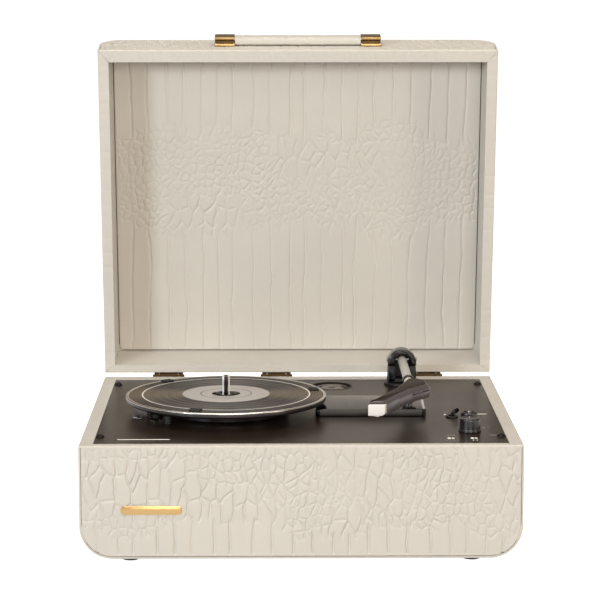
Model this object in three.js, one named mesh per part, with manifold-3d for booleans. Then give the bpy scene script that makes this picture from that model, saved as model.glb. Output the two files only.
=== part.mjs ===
// A suitcase record player with its lid open: a U-shaped base and lid with flat end boards, a dark deck
// with platter, tonearm and controls, and the drive, bearing, speakers and circuit board inside.
// Case frame: X across from the centre, Y back from the base's front face, Z up from the base's rim.

import * as THREE from 'three';
import { mergeVertices } from 'three/addons/utils/BufferGeometryUtils.js';
import Module from 'manifold-3d';

const wasm = await Module();
wasm.setup();

// ---- driving dimensions, millimetres and degrees ----
const GAP = 0.3;
const CASE_W = 400;
const CASE_D = 340;
const BASE_H = 104;
const FOOT_H = 5;
const CORNER_R = 30;
const LIP = 1.8;

const BASE_SIDE_T = 12.5;
const BASE_BOTTOM_T = 9;
const FRONT_T = 9;
const REAR_T = 16;

const LID_H = 55.5;
const LID_GAP = 0.5;
const LID_SIDE_T = 10.7;
const LID_TOP_T = 4;
const LID_FRONT_T = 12.5;
const LID_REAR_T = 8.3;
const LINING_T = 2.6;
const LID_R = 24;
const LID_INNER_R = 6;
const HINGE_Y = 343;
const HINGE_Z = 0.25;
const LID_OPEN_DEG = 81.54;

const DECK_TOP = -0.5;
const DECK_T = 3.5;
const DECK_X = CASE_W / 2 - BASE_SIDE_T - GAP;
const DECK_Y0 = FRONT_T + 2 * GAP;
const DECK_Y1 = CASE_D - REAR_T - 2 * GAP;

const PLATTER = { x: -70.5, y: 154.5, top: 17.5, r: 96, rim: 3.4, rimH: 5.5, ringLow: 1.6 };
const MAT_T = 1.8;
const LABEL_R = 41.7;
const SPINDLE_R = 3.6;
const SPINDLE_TOP = 37.5;
const SLEEVE_R = 6;
const BELT_RING_R = 60;
const BELT_W = 4;
const PULLEY_R = 5;
const MOTOR_AT = { angle: 205, r: 72 };
const PAD_ANGLES = [252, 12.5, 133];
const PAD = { at: 86.5, halfAlong: 4.2, halfAcross: 5.5, proud: 1.8 };

const SPEED_BLOCK = { x0: -157.5, x1: -144, y0: 133, y1: 152, top: 9.6 };
const STOP_POST = { x: -124, y: 100, r: 4.2, top: 8 };

const ARM = { x: 105.6, y: 296, z: 25.6, tubeR: 4.4, archW: 29, archTop: 37, leg: 8 };
const REST_AT = { x: 105.6, y: 169 };
const ISLAND = { x0: 15, x1: 120.2, y0: 131, y1: 200, h: 7, wall: 2 };
const POST_TOP = 19;
const HEAD_TOP = 33.5;
const HEAD_BOTTOM = 21.2;

const KNOB_FRONT = { x: 156, y: 62, r: 9.6, h: 12 };
const KNOB_REAR = { x: 158, y: 95, r: 8, h: 11 };
const LEVER_AT = { x: 144.5, y: 130 };
const CONTROL_BOARD = { x0: 136, x1: 172, y0: 48, y1: 144, t: 2 };
const ADAPTER = { x: 34, y: 288, r: 19.05, h: 5.2 };
const SCREW_AT = [[-183, 41], [183, 41], [-183, 296], [183, 296]];

const PLAQUE = { x: -135, z: -59, half: 23.5, r: 4, proud: 1.1 };
const SPEAKER = { y: 150, z: -49, hole: 25, frame: 28, depth: 18 };
const FOOT_AT = [[-155, 21], [155, 21], [-155, 319], [155, 319]];
const HINGE_X = { left: -134, middle: -22, right: 134 };
const HINGE_W = 30;
const HANDLE = { half: 83.5, bracket: 20, z: 28, proud: 10 };

// the frame's datum: halfway along the whole object's depth, at the foot of the feet
const DATUM_Y = 198.055;
const RAD = Math.PI / 180;

// ---- helpers ----
const look = (color, roughness, metalness) =>
  new THREE.MeshStandardMaterial({ color, roughness, metalness });

function solid(geometry) {
  const bare = geometry.clone();
  bare.deleteAttribute('normal');
  bare.deleteAttribute('uv');
  const merged = mergeVertices(bare, 1e-4);
  return new wasm.Manifold(new wasm.Mesh({
    numProp: 3,
    vertProperties: new Float32Array(merged.attributes.position.array),
    triVerts: new Uint32Array(merged.index.array),
  }));
}

function shaped(manifold) {
  const mesh = manifold.getMesh();
  const geometry = new THREE.BufferGeometry();
  geometry.setAttribute('position', new THREE.BufferAttribute(new Float32Array(mesh.vertProperties), 3));
  geometry.setIndex(new THREE.BufferAttribute(new Uint32Array(mesh.triVerts), 1));
  geometry.computeVertexNormals();
  return geometry;
}

// one geometry from a first shape, shapes joined to it, and shapes cut from it
function make(first, joined = [], cut = []) {
  let body = solid(first);
  for (const piece of joined) body = body.add(solid(piece));
  for (const piece of cut) body = body.subtract(solid(piece));
  return shaped(body);
}

function box(x0, x1, y0, y1, z0, z1) {
  return new THREE.BoxGeometry(x1 - x0, y1 - y0, z1 - z0)
    .translate((x0 + x1) / 2, (y0 + y1) / 2, (z0 + z1) / 2);
}

function rodZ(r, z0, z1, x = 0, y = 0, segments = 18, topR = r) {
  return new THREE.CylinderGeometry(topR, r, z1 - z0, segments)
    .rotateX(Math.PI / 2).translate(x, y, (z0 + z1) / 2);
}

function rodY(r, y0, y1, x = 0, z = 0, segments = 24, farR = r) {
  return new THREE.CylinderGeometry(farR, r, y1 - y0, segments)
    .translate(x, (y0 + y1) / 2, z);
}

function rodX(r, x0, x1, y = 0, z = 0, segments = 24) {
  return new THREE.CylinderGeometry(r, r, x1 - x0, segments)
    .rotateZ(Math.PI / 2).translate((x0 + x1) / 2, y, z);
}

// a turned solid about Z from [radius, height] pairs that start and end on the axis or close on themselves
function turned(profile, segments = 26) {
  const points = profile.map(([r, z]) => new THREE.Vector2(r, z));
  if (THREE.ShapeUtils.area(points) < 0) points.reverse();
  return new THREE.LatheGeometry(points, segments).rotateX(Math.PI / 2);
}

function prism(points, depth) {
  const shape = new THREE.Shape(points.map(([a, b]) => new THREE.Vector2(a, b)));
  return new THREE.ExtrudeGeometry(shape, { depth, bevelEnabled: false });
}

// outline in X-Z, open side up, with rounded lower corners; it runs along Y from y0 to y1
function troughOutline(halfW, bottom, top, r) {
  const shape = new THREE.Shape();
  shape.moveTo(halfW, top);
  shape.lineTo(-halfW, top);
  shape.lineTo(-halfW, bottom + r);
  shape.absarc(-halfW + r, bottom + r, r, Math.PI, 1.5 * Math.PI, false);
  shape.lineTo(halfW - r, bottom);
  shape.absarc(halfW - r, bottom + r, r, -0.5 * Math.PI, 0, false);
  return shape;
}

function alongY(shape, y0, y1) {
  return new THREE.ExtrudeGeometry(shape, { depth: y1 - y0, bevelEnabled: false, curveSegments: 6 })
    .rotateX(Math.PI / 2).translate(0, y1, 0);
}

// the trough above as a block of the case, from its outer half width less an inset
function trough(inset, bottom, top, y0, y1, cornerR = CORNER_R) {
  const shape = troughOutline(CASE_W / 2 - inset, bottom + inset, top, cornerR - inset);
  return alongY(shape, y0, y1);
}

// the lid's blocks are the same trough turned upside down
function lidTrough(inset, bottomZ, y0, y1) {
  return trough(inset, -LID_H, -bottomZ, y0, y1, LID_R).rotateY(Math.PI);
}

const root = new THREE.Group();
const caseFrame = new THREE.Group();
caseFrame.position.set(0, -DATUM_Y, BASE_H + FOOT_H);
root.add(caseFrame);

function add(name, geometry, material, parent = caseFrame) {
  const mesh = new THREE.Mesh(geometry, material);
  mesh.name = name;
  parent.add(mesh);
  return mesh;
}

const CREAM = () => look(0xd9d0c0, 0.55, 0);
const BLACK = () => look(0x17151a, 0.35, 0);
const BRASS = () => look(0xc08a4a, 0.25, 1);
const STEEL = () => look(0x9a9a9a, 0.35, 1);

// ---- base case ----
const speakerHoles = [rodX(SPEAKER.hole, -CASE_W, CASE_W, SPEAKER.y, SPEAKER.z, 40)];
const footScrews = FOOT_AT.map(([x, y]) => rodZ(2.4, -BASE_H - 1, -BASE_H + 6, x, y, 16));
// the hollow is narrower under the deck, which leaves a ledge along each side for the deck to stand on
const LEDGE_W = 11.3;
const LEDGE_DEEP = 19;
const wellHalf = CASE_W / 2 - BASE_SIDE_T;
const baseHollow = make(
  alongY(troughOutline(wellHalf, -BASE_H + BASE_BOTTOM_T, 1, CORNER_R - BASE_SIDE_T), -1, CASE_D + 1),
  [],
  [-1, 1].map((sign) => box(
    sign < 0 ? -wellHalf - 1 : wellHalf - LEDGE_W, sign < 0 ? -wellHalf + LEDGE_W : wellHalf + 1,
    DECK_Y0 + 1, DECK_Y1 - 1, -LEDGE_DEEP, DECK_TOP - DECK_T - GAP,
  )),
);
add('base_band', make(
  trough(0, -BASE_H, 0, 0, CASE_D),
  [],
  [
    baseHollow,
    ...SCREW_AT.map(([x, y]) => rodZ(1.9, -17, 0, x, y, 12)),
    trough(LIP, -BASE_H, 1, -1, FRONT_T + GAP),
    trough(LIP, -BASE_H, 1, CASE_D - REAR_T - GAP, CASE_D + 1),
    ...speakerHoles,
    ...footScrews,
  ],
), CREAM());

add('front_board', make(trough(LIP + GAP, -BASE_H, 0, 0, FRONT_T)), CREAM());

const JACK_Z = -62;
const PANEL_X = 52;
add('rear_board', make(
  trough(LIP + GAP, -BASE_H, 0, CASE_D - REAR_T, CASE_D),
  [],
  [box(-PANEL_X + 6, PANEL_X - 6, CASE_D - REAR_T - 1, CASE_D + 1, JACK_Z - 15, JACK_Z + 15),
    box(-PANEL_X - GAP, PANEL_X + GAP, CASE_D - 2.5, CASE_D + 1, JACK_Z - 20.3, JACK_Z + 20.3)],
), CREAM());

FOOT_AT.forEach(([x, y], i) => {
  const name = ['foot_front_left', 'foot_front_right', 'foot_rear_left', 'foot_rear_right'][i];
  add(name, make(
    turned([[0, -FOOT_H], [7.6, -FOOT_H], [9, -FOOT_H + 1.4], [9, -GAP], [0, -GAP]], 32)
      .translate(x, y, -BASE_H),
    [rodZ(2, -BASE_H - 1, -BASE_H + 5, x, y, 16)],
  ), look(0x1a1a1a, 0.8, 0));
});

// a plain plaque with round ends on the front board
const plaqueShape = new THREE.Shape();
plaqueShape.absarc(-PLAQUE.half, 0, PLAQUE.r, Math.PI / 2, 1.5 * Math.PI, false);
plaqueShape.absarc(PLAQUE.half, 0, PLAQUE.r, -Math.PI / 2, Math.PI / 2, false);
add('front_plaque', alongY(plaqueShape, -PLAQUE.proud, -GAP).translate(PLAQUE.x, 0, PLAQUE.z), BRASS());

// ---- rear connectors ----
const jackHoles = [
  [-40, 4.2], [-27, 4.2], [-9, 3.4], [6, 3.4], [35, 4.6],
].map(([x, r]) => rodY(r, CASE_D - 6, CASE_D + 3, x, JACK_Z, 12));
const jackY = CASE_D - 2.5 + GAP;
const socketCup = (x) => turned([
  [0, -14], [3.6, -14], [3.6, 2], [1.8, 2], [1.8, -11], [0, -11],
], 12).rotateX(-Math.PI / 2).translate(x, jackY + 1, JACK_Z);
const punched = make(
  box(-PANEL_X, PANEL_X, jackY, jackY + 1.8, JACK_Z - 20, JACK_Z + 20), [], jackHoles,
);
add('jack_plate', make(punched, [socketCup(-9), socketCup(6)]), BLACK());
function phonoJack(name, x, color) {
  const ring = turned([[2, -9], [3.9, -9], [3.9, 7], [2, 7], [2, -9]], 12).rotateX(-Math.PI / 2);
  const backWall = turned([[0, -9], [3, -9], [3, -6], [0, -6]], 12).rotateX(-Math.PI / 2);
  add(name, make(ring, [backWall]).translate(x, jackY + 1, JACK_Z), look(color, 0.4, 0.3));
}
phonoJack('rca_jack_left', -40, 0xe8e4dc);
phonoJack('rca_jack_right', -27, 0xb02020);
add('power_inlet', turned([
  [0, -14], [4.3, -14], [4.3, 2], [2.8, 2], [2.8, -11], [0, -11],
], 12).rotateX(-Math.PI / 2).translate(35, jackY + 1, JACK_Z), BLACK());

// ---- deck plate ----
const motorX = PLATTER.x + MOTOR_AT.r * Math.cos(MOTOR_AT.angle * RAD);
const motorY = PLATTER.y + MOTOR_AT.r * Math.sin(MOTOR_AT.angle * RAD);
const DECK_UNDER = DECK_TOP - DECK_T;
add('deck_plate', make(
  box(-DECK_X, DECK_X, DECK_Y0, DECK_Y1, DECK_UNDER, DECK_TOP),
  [rodZ(22, -9.5, DECK_UNDER + 1, ADAPTER.x, ADAPTER.y, 26)],
  [
    rodZ(ADAPTER.r + 0.5, -7.5, 1, ADAPTER.x, ADAPTER.y, 26),
    rodZ(8.3, -12, 1, PLATTER.x, PLATTER.y),
    rodZ(7, -12, 1, motorX, motorY),
    rodZ(6.3, -12, 1, ARM.x, ARM.y),
    rodZ(3.8, -12, 1, KNOB_FRONT.x, KNOB_FRONT.y, 24),
    rodZ(3.8, -12, 1, KNOB_REAR.x, KNOB_REAR.y, 24),
    box(LEVER_AT.x - 2.4, LEVER_AT.x + 2.4, LEVER_AT.y - 7, LEVER_AT.y + 7, -12, 1),
    ...SCREW_AT.map(([x, y]) => rodZ(2.1, -12, 1, x, y, 16)),
  ],
), look(0x232024, 0.28, 0));

SCREW_AT.forEach(([x, y], i) => {
  const name = ['front_left', 'front_right', 'rear_left', 'rear_right'][i];
  const head = turned([[0, 2.6], [1.6, 2.4], [3, 1.7], [3.9, 0.3], [3.9, 0], [1.5, 0], [1.5, -15], [0, -15.5]], 12)
    .translate(x, y, DECK_TOP + GAP);
  add(`deck_screw_${name}`, make(head, [], [
    box(x - 2.2, x + 2.2, y - 0.4, y + 0.4, DECK_TOP + 1.7, DECK_TOP + 4),
    box(x - 0.4, x + 0.4, y - 2.2, y + 2.2, DECK_TOP + 1.7, DECK_TOP + 4),
  ]), look(0x141214, 0.4, 0.6));
});

// ---- platter and bearing ----
const webTop = PLATTER.top - MAT_T - GAP;
const rimUnder = PLATTER.top - PLATTER.rimH;
add('platter', turned([
  [SLEEVE_R + GAP, rimUnder], [BELT_RING_R - 4, rimUnder], [BELT_RING_R - 4, PLATTER.ringLow],
  [BELT_RING_R, PLATTER.ringLow], [BELT_RING_R, rimUnder], [PLATTER.r - 1, rimUnder],
  [PLATTER.r, rimUnder + 1], [PLATTER.r, PLATTER.top - 1], [PLATTER.r - 1, PLATTER.top],
  [PLATTER.r - PLATTER.rim, PLATTER.top], [PLATTER.r - PLATTER.rim, webTop],
  [SLEEVE_R + GAP, webTop], [SLEEVE_R + GAP, rimUnder],
], 40).translate(PLATTER.x, PLATTER.y, 0), look(0x4a4648, 0.35, 0.7));

const matR = PLATTER.r - PLATTER.rim - GAP;
const RECESS_R = 13.4;
const labelTop = PLATTER.top + 0.5;
const matPads = PAD_ANGLES.map((degrees) => box(
  PAD.at - PAD.halfAlong, PAD.at + PAD.halfAlong, -PAD.halfAcross, PAD.halfAcross,
  PLATTER.top - 0.6, PLATTER.top + PAD.proud,
).rotateZ(degrees * RAD));
add('platter_mat', make(turned([
  [RECESS_R, PLATTER.top - MAT_T], [matR, PLATTER.top - MAT_T], [matR, PLATTER.top],
  [LABEL_R, PLATTER.top], [LABEL_R, labelTop], [RECESS_R, labelTop], [RECESS_R, PLATTER.top - MAT_T],
], 40), matPads).translate(PLATTER.x, PLATTER.y, 0), look(0x2a2628, 0.25, 0.1));

const sleeveTop = PLATTER.top - 0.9;
add('bearing_sleeve', turned([
  [SPINDLE_R + 0.3, 4.5], [SLEEVE_R, 4.5], [SLEEVE_R, 11], [SLEEVE_R, webTop], [12.8, webTop + GAP],
  [12.8, sleeveTop], [SPINDLE_R + 0.3, sleeveTop], [SPINDLE_R + 0.3, 4.5],
], 20).translate(PLATTER.x, PLATTER.y, 0), look(0x2a2a2c, 0.4, 0.5));

add('spindle', turned([
  [0, -30], [SPINDLE_R, -30], [SPINDLE_R, SPINDLE_TOP - 2.4], [SPINDLE_R - 0.7, SPINDLE_TOP - 0.9],
  [SPINDLE_R - 2, SPINDLE_TOP - 0.1], [0, SPINDLE_TOP],
], 32).translate(PLATTER.x, PLATTER.y, 0), look(0xd8d8dc, 0.08, 1));

add('bearing_housing', turned([
  [SPINDLE_R + 0.05, -34], [8, -34], [8, DECK_UNDER - 5], [20, DECK_UNDER - 5], [20, DECK_UNDER - GAP],
  [8, DECK_UNDER - GAP], [8, 2.5], [SPINDLE_R + 0.05, 2.5], [SPINDLE_R + 0.05, -34],
], 20).translate(PLATTER.x, PLATTER.y, 0), look(0x8a8a8e, 0.5, 0.8));

// ---- motor, pulley and belt ----
const MOTOR_R = 18;
const motorTop = DECK_UNDER - 3;
add('motor_can', make(
  rodZ(MOTOR_R, motorTop - 26, motorTop, motorX, motorY, 40),
  [rodZ(7.5, motorTop - 1, DECK_UNDER - GAP, motorX, motorY)],
  [rodZ(2.2, motorTop - 22, DECK_TOP, motorX, motorY, 20)],
), look(0x8c8c90, 0.4, 0.8));
add('motor_pulley', turned([
  [0, motorTop - 20], [1.5, motorTop - 20], [1.5, 1.5], [PULLEY_R + 1.2, 1.5], [PULLEY_R + 1.2, 4.6],
  [PULLEY_R, 5.4], [PULLEY_R, 9.8], [PULLEY_R + 1.2, 10.4], [0, 10.4],
], 32).translate(motorX, motorY, 0), look(0x2c2a2a, 0.35, 1));

// flat belt round the ring and the pulley, with straight runs on the two common tangents
function beltOutline(extra) {
  const shape = new THREE.Shape();
  const big = BELT_RING_R + extra;
  const small = PULLEY_R + extra;
  const lean = Math.acos((big - small) / MOTOR_AT.r);
  shape.absarc(0, 0, big, lean, 2 * Math.PI - lean, false);
  shape.absarc(MOTOR_AT.r, 0, small, -lean, lean, false);
  return shape;
}
const beltShape = (extra, from, to) =>
  new THREE.ExtrudeGeometry(beltOutline(extra), { depth: to - from, bevelEnabled: false, curveSegments: 14 })
    .translate(0, 0, from).rotateZ(MOTOR_AT.angle * RAD).translate(PLATTER.x, PLATTER.y, 0);
add('drive_belt', make(beltShape(1.1, 5.7, 5.7 + BELT_W - 0.4), [], [beltShape(0.35, 5, 11)]),
  look(0x111111, 0.7, 0));

// ---- pieces that stand beside the platter ----
// a block on a thin tab, and the slotted screw that holds the tab down
const onDeck = DECK_TOP + GAP;
const tabX = SPEED_BLOCK.x0 - 2;
const screwX = tabX + 4;
const screwY = SPEED_BLOCK.y0 - 6;
add('speed_block', make(
  box(SPEED_BLOCK.x0, SPEED_BLOCK.x1, SPEED_BLOCK.y0, SPEED_BLOCK.y1, onDeck, SPEED_BLOCK.top),
  [
    box(tabX, tabX + 9.5, screwY - 5, SPEED_BLOCK.y0 + 1, onDeck, onDeck + 1.1),
    rodZ(3.6, onDeck, onDeck + 2.2, screwX, screwY, 24),
  ],
  [box(screwX - 2.7, screwX + 2.7, screwY - 0.4, screwY + 0.4, onDeck + 1.4, onDeck + 3)],
), look(0x55524f, 0.5, 0));
add('stop_post', make(
  rodZ(STOP_POST.r + 0.8, onDeck, onDeck + 1.8, STOP_POST.x, STOP_POST.y, 24),
  [rodZ(STOP_POST.r, onDeck + 1, STOP_POST.top, STOP_POST.x, STOP_POST.y, 24)],
), BLACK());

const island = ISLAND;
const islandShell = make(
  box(island.x0, island.x1, island.y0, island.y1, DECK_TOP + GAP, island.h), [], [
    box(island.x0 + island.wall, island.x1 - island.wall, island.y0 + island.wall, island.y1 - island.wall,
      -2, island.h - island.wall),
    rodZ(3.2, 0, 9, REST_AT.x, REST_AT.y, 20),
  ],
);
const leaningPost = alongY(new THREE.Shape([
  [island.x1 - 3.2, island.h - 1], [island.x1 - 0.6, island.h - 1],
  [island.x1 - 3.8, POST_TOP], [island.x1 - 6.2, POST_TOP],
].map(([x, z]) => new THREE.Vector2(x, z))), island.y0 + 2, island.y0 + 5);
add('arm_island', make(islandShell, [leaningPost]), BLACK());

// ---- tonearm rest: a post with a saddle, open towards the platter ----
const saddleZ = ARM.z - ARM.tubeR - GAP;
add('arm_rest', make(
  rodZ(2.9, island.h - island.wall - 1, island.h + 1, REST_AT.x, REST_AT.y, 20),
  [
    rodZ(4.2, island.h + GAP, saddleZ - 2, REST_AT.x, REST_AT.y, 24),
    box(REST_AT.x - 6, REST_AT.x + 7.6, REST_AT.y - 3.5, REST_AT.y + 3.5, saddleZ - 3, saddleZ),
    box(REST_AT.x + 5.6, REST_AT.x + 7.6, REST_AT.y - 3.5, REST_AT.y + 3.5, saddleZ - 1, saddleZ + 8.4),
  ],
), BLACK());

// ---- tonearm ----
add('arm_base', make(
  turned([[2.6, -22], [6, -22], [6, DECK_TOP], [6, DECK_TOP + GAP], [18, DECK_TOP + GAP], [18, 2], [16.4, 3.2],
    [2.6, 3.2], [2.6, -22]], 20).translate(ARM.x, ARM.y, 0),
), BLACK());

function archOutline(halfW, top, bottom) {
  const shape = new THREE.Shape();
  shape.moveTo(halfW, bottom);
  shape.lineTo(halfW, top - halfW);
  shape.absarc(0, top - halfW, halfW, 0, Math.PI, false);
  shape.lineTo(-halfW, bottom);
  return shape;
}
const ARCH_HALF = ARM.archW / 2;
const HOOD_BACK = 9;
const HOOD_WALL = 1.8;
const LEG_IN = ARCH_HALF - ARM.leg;
const archFoot = 3.2 + GAP;
// the hollow is open at the front and closed by a thin wall behind the end of the tube
const slot = alongY(archOutline(LEG_IN, ARM.archTop - 5, 7), -20, HOOD_BACK - HOOD_WALL);
const hoodedYoke = make(
  alongY(archOutline(ARCH_HALF, ARM.archTop, archFoot), -HOOD_BACK, HOOD_BACK),
  [rodZ(2.3, -20, archFoot + 1, 0, 0, 20)],
  [slot],
);
const pivotPin = rodX(1.6, -ARCH_HALF - 0.8, ARCH_HALF + 0.8, 0, ARM.z, 20);
add('arm_yoke', make(hoodedYoke, [pivotPin]).translate(ARM.x, ARM.y, 0), BLACK());

const tubeEnd = 147;
const collarY = 169;
const sleeveY = 152.5;
add('arm_tube', make(
  rodY(ARM.tubeR, tubeEnd, ARM.y + HOOD_BACK - HOOD_WALL - 1.2, ARM.x, ARM.z, 28), [],
  [rodX(1.9, ARM.x - 12, ARM.x + 12, ARM.y, ARM.z, 20)],
), look(0xb6b2b0, 0.35, 0.5));
function armRing(name, y0, y1, r, material) {
  const bore = ARM.tubeR + 0.25;
  const ring = turned([[bore, y0], [r, y0], [r, y1], [bore, y1], [bore, y0]], 22);
  add(name, ring.rotateX(-Math.PI / 2).translate(ARM.x, 0, ARM.z), material);
}
armRing('arm_collar', collarY + 5, collarY + 10, ARM.tubeR + 1.6, BLACK());
armRing('arm_ferrule', sleeveY, collarY - 5, ARM.tubeR + 0.9, look(0xcfc8b8, 0.45, 0));

// headshell outline, seen from above, from its front left corner round
const HEAD_OUTLINE = [
  [60.3, 33], [77.5, 33], [90.5, 63], [104.5, 93], [114.5, 105.5], [122.5, 118], [121.5, 140], [114, 150],
  [102, 149.5], [98.5, 139], [90, 108], [73, 66],
];
const HEAD_HOLLOW = [
  [63.6, 36], [75.8, 36], [88.8, 65], [102.6, 94.5], [112.5, 107.5], [119.6, 120], [118.8, 134], [103.5, 134],
  [93.2, 107.5], [75.8, 65.5],
];
const HEAD_WALL_TOP = 2;
const headPrism = (outline, z0, z1) => prism(outline, z1 - z0).translate(0, 0, z0);
add('headshell', make(
  headPrism(HEAD_OUTLINE, HEAD_BOTTOM, HEAD_TOP), [],
  [
    headPrism(HEAD_HOLLOW, HEAD_BOTTOM - 1, HEAD_TOP - HEAD_WALL_TOP),
    rodY(ARM.tubeR + 0.3, 137, 152, ARM.x, ARM.z, 28),
    box(50, 100, 20, 58.6, HEAD_BOTTOM - 1, HEAD_TOP - HEAD_WALL_TOP),
  ],
), look(0x4c484c, 0.4, 0.3));

// cartridge: a leaning block whose front face is square to the case
const CART_BOTTOM = 20.9;
const cartTop = HEAD_TOP - HEAD_WALL_TOP - GAP;
const cartPlan = [[60.6, 29], [77.6, 29], [88.2, 58], [71.2, 58]];
add('cartridge', make(headPrism(cartPlan, CART_BOTTOM, cartTop), [
  headPrism([[60.6, 29], [76, 29], [76.8, 32.4], [62, 32.4]], cartTop - 1, HEAD_TOP - 0.6),
], [
  box(-3, 3, -40, 40, -3, 3).rotateY(40 * RAD).translate(79.6, 45, CART_BOTTOM),
  headPrism([[67, 28], [71.8, 28], [78, 46], [73.2, 46]], CART_BOTTOM - 1, CART_BOTTOM + 2.2),
]), look(0xe4dedb, 0.4, 0));
const stylusX = 66.2;
add('stylus', make(
  headPrism([[67.6, 29.6], [71.2, 29.6], [76.8, 44.6], [73.2, 44.6]], CART_BOTTOM - 0.4, CART_BOTTOM + 1.8),
  [headPrism([[stylusX + 2.6, 30.6], [stylusX + 3.6, 30.6], [stylusX + 4.6, 33.6], [stylusX + 3.6, 33.6]],
    CART_BOTTOM - 1.1, CART_BOTTOM)],
), look(0xd0c8c0, 0.4, 0.2));

// ---- controls ----
function knob(name, at, material) {
  const z0 = DECK_TOP + 1;
  const top = z0 + at.h;
  const cap = turned([
    [0, z0], [at.r + 0.6, z0], [at.r + 0.6, z0 + 1.4], [at.r, z0 + 2], [at.r - 0.3, top - 1.2],
    [at.r - 1.5, top], [at.r - 2.6, top - 0.5], [0, top - 0.5],
  ], 20).translate(at.x, at.y, 0);
  const mark = box(at.x - 0.4, at.x + 0.4, at.y + at.r - 3.6, at.y + at.r + 2, top - 1.2, top + 1);
  add(name, make(cap, [rodZ(3.1, -9, z0 + 0.5, at.x, at.y, 20)], [mark]), material);
}
knob('volume_knob', KNOB_FRONT, look(0x2b292b, 0.35, 0.1));
knob('selector_knob', KNOB_REAR, look(0x2b292b, 0.35, 0.1));

const LEVER_PIVOT_Z = -8;
const lever = LEVER_AT;
// above the deck the lever leans to the right and widens to a thumb pad
const leverTip = alongY(new THREE.Shape([
  [-1.6, 0.6], [1.6, 0.6], [5.4, 4.4], [7.2, 6.2], [4.4, 9], [1.2, 6],
].map(([x, z]) => new THREE.Vector2(lever.x + x, z))), lever.y - 2.6, lever.y + 2.6);
add('lever', make(
  rodX(2.6, lever.x - 1.6, lever.x + 1.6, lever.y, LEVER_PIVOT_Z, 20),
  [
    box(lever.x - 1.6, lever.x + 1.6, lever.y - 1.6, lever.y + 1.6, LEVER_PIVOT_Z, 2),
    leverTip,
  ],
), BLACK());

// one board carries the volume control, the selector and the lever's switch
const CONTROL_TOP = DECK_UNDER - GAP;
const CONTROL_LOW = -18;
const { x0: boardX0, x1: boardX1, y0: boardY0, y1: boardY1, t: boardT } = CONTROL_BOARD;
const controlBody = (at, half) =>
  box(at.x - half, at.x + half, at.y - half, at.y + half, CONTROL_LOW - 1, CONTROL_TOP);
add('control_board', make(
  box(boardX0, boardX1, boardY0, boardY1, CONTROL_LOW - 0.6 - boardT, CONTROL_LOW - 0.6),
  [controlBody(KNOB_FRONT, 8.5), controlBody(KNOB_REAR, 8.5), controlBody(lever, 9)],
  [
    ...[KNOB_FRONT, KNOB_REAR].map((at) => rodZ(3.8, -12, 0, at.x, at.y, 20)),
    box(lever.x - 3, lever.x + 3, lever.y - 7.4, lever.y + 7.4, -13, 0),
  ],
), look(0x2f6a3c, 0.6, 0.2));

// ---- 45 rpm adapter with two finger hollows ----
const adapterFloor = -7.5 + GAP;
const adapterTop = adapterFloor + ADAPTER.h + 1.2;
add('adapter_45', make(
  turned([[3.8, adapterFloor], [ADAPTER.r, adapterFloor], [ADAPTER.r, adapterTop - 2],
    [ADAPTER.r - 2, adapterTop - 1],
    [9, adapterTop], [7.6, adapterTop - 1], [3.8, adapterTop - 1], [3.8, adapterFloor]], 26)
    .translate(ADAPTER.x, ADAPTER.y, 0),
  [],
  [-1, 1].map((sign) => rodZ(8.6, -12, 4, ADAPTER.x + sign * 17.4, ADAPTER.y, 32)),
), look(0x7c7470, 0.4, 0.1));

// ---- inside the base ----
for (const [side, sign] of [['left', -1], ['right', 1]]) {
  const cone = turned([
    [0, 4], [9, 4], [22, SPEAKER.depth - 3], [SPEAKER.frame, SPEAKER.depth - 3], [SPEAKER.frame, SPEAKER.depth],
    [21.5, SPEAKER.depth], [18, SPEAKER.depth - 1], [9, 9], [0, 9],
  ], 20);
  const magnet = rodZ(13, -5, 4.5);
  const speaker = make(cone, [magnet]).rotateY(sign * Math.PI / 2);
  const face = sign * (CASE_W / 2 - BASE_SIDE_T - GAP - SPEAKER.depth);
  add(`speaker_${side}`, speaker.translate(face, SPEAKER.y, SPEAKER.z), look(0x202022, 0.7, 0.1));

  const slots = [-18, -12, -6, 0, 6, 12, 18].map((z) => {
    const half = Math.sqrt(23 * 23 - z * z) - 1.5;
    return box(-half, half, z - 1.4, z + 1.4, -6, 6);
  });
  const grille = make(
    turned([[0, 0], [SPEAKER.hole - 0.5, 0], [SPEAKER.hole - 0.5, 3.2], [SPEAKER.hole + 3, 3.2], [SPEAKER.hole + 3, 4],
      [SPEAKER.hole + 1.5, 5], [0, 5]], 20),
    [], slots,
  ).rotateY(sign * Math.PI / 2);
  if (sign < 0) grille.rotateX(Math.PI);
  add(`grille_${side}`, grille.translate(sign * (CASE_W / 2 - 2.9), SPEAKER.y, SPEAKER.z), BLACK());
}

const BOARD_Z = -BASE_H + BASE_BOTTOM_T + 8;
add('circuit_board', make(
  box(-52, 52, 236, 312, BOARD_Z, BOARD_Z + 1.6),
  [
    ...[[-46, 242], [46, 242], [-46, 306], [46, 306]].map(([x, y]) =>
      rodZ(2.4, -BASE_H + BASE_BOTTOM_T + GAP, BOARD_Z + 0.5, x, y, 12)),
    box(-20, 20, 250, 262, BOARD_Z + 1, BOARD_Z + 18),
    rodZ(6, BOARD_Z + 1, BOARD_Z + 16, -34, 290, 20),
    rodZ(6, BOARD_Z + 1, BOARD_Z + 16, -18, 290, 20),
  ],
), look(0x2a6a3a, 0.6, 0.1));

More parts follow.
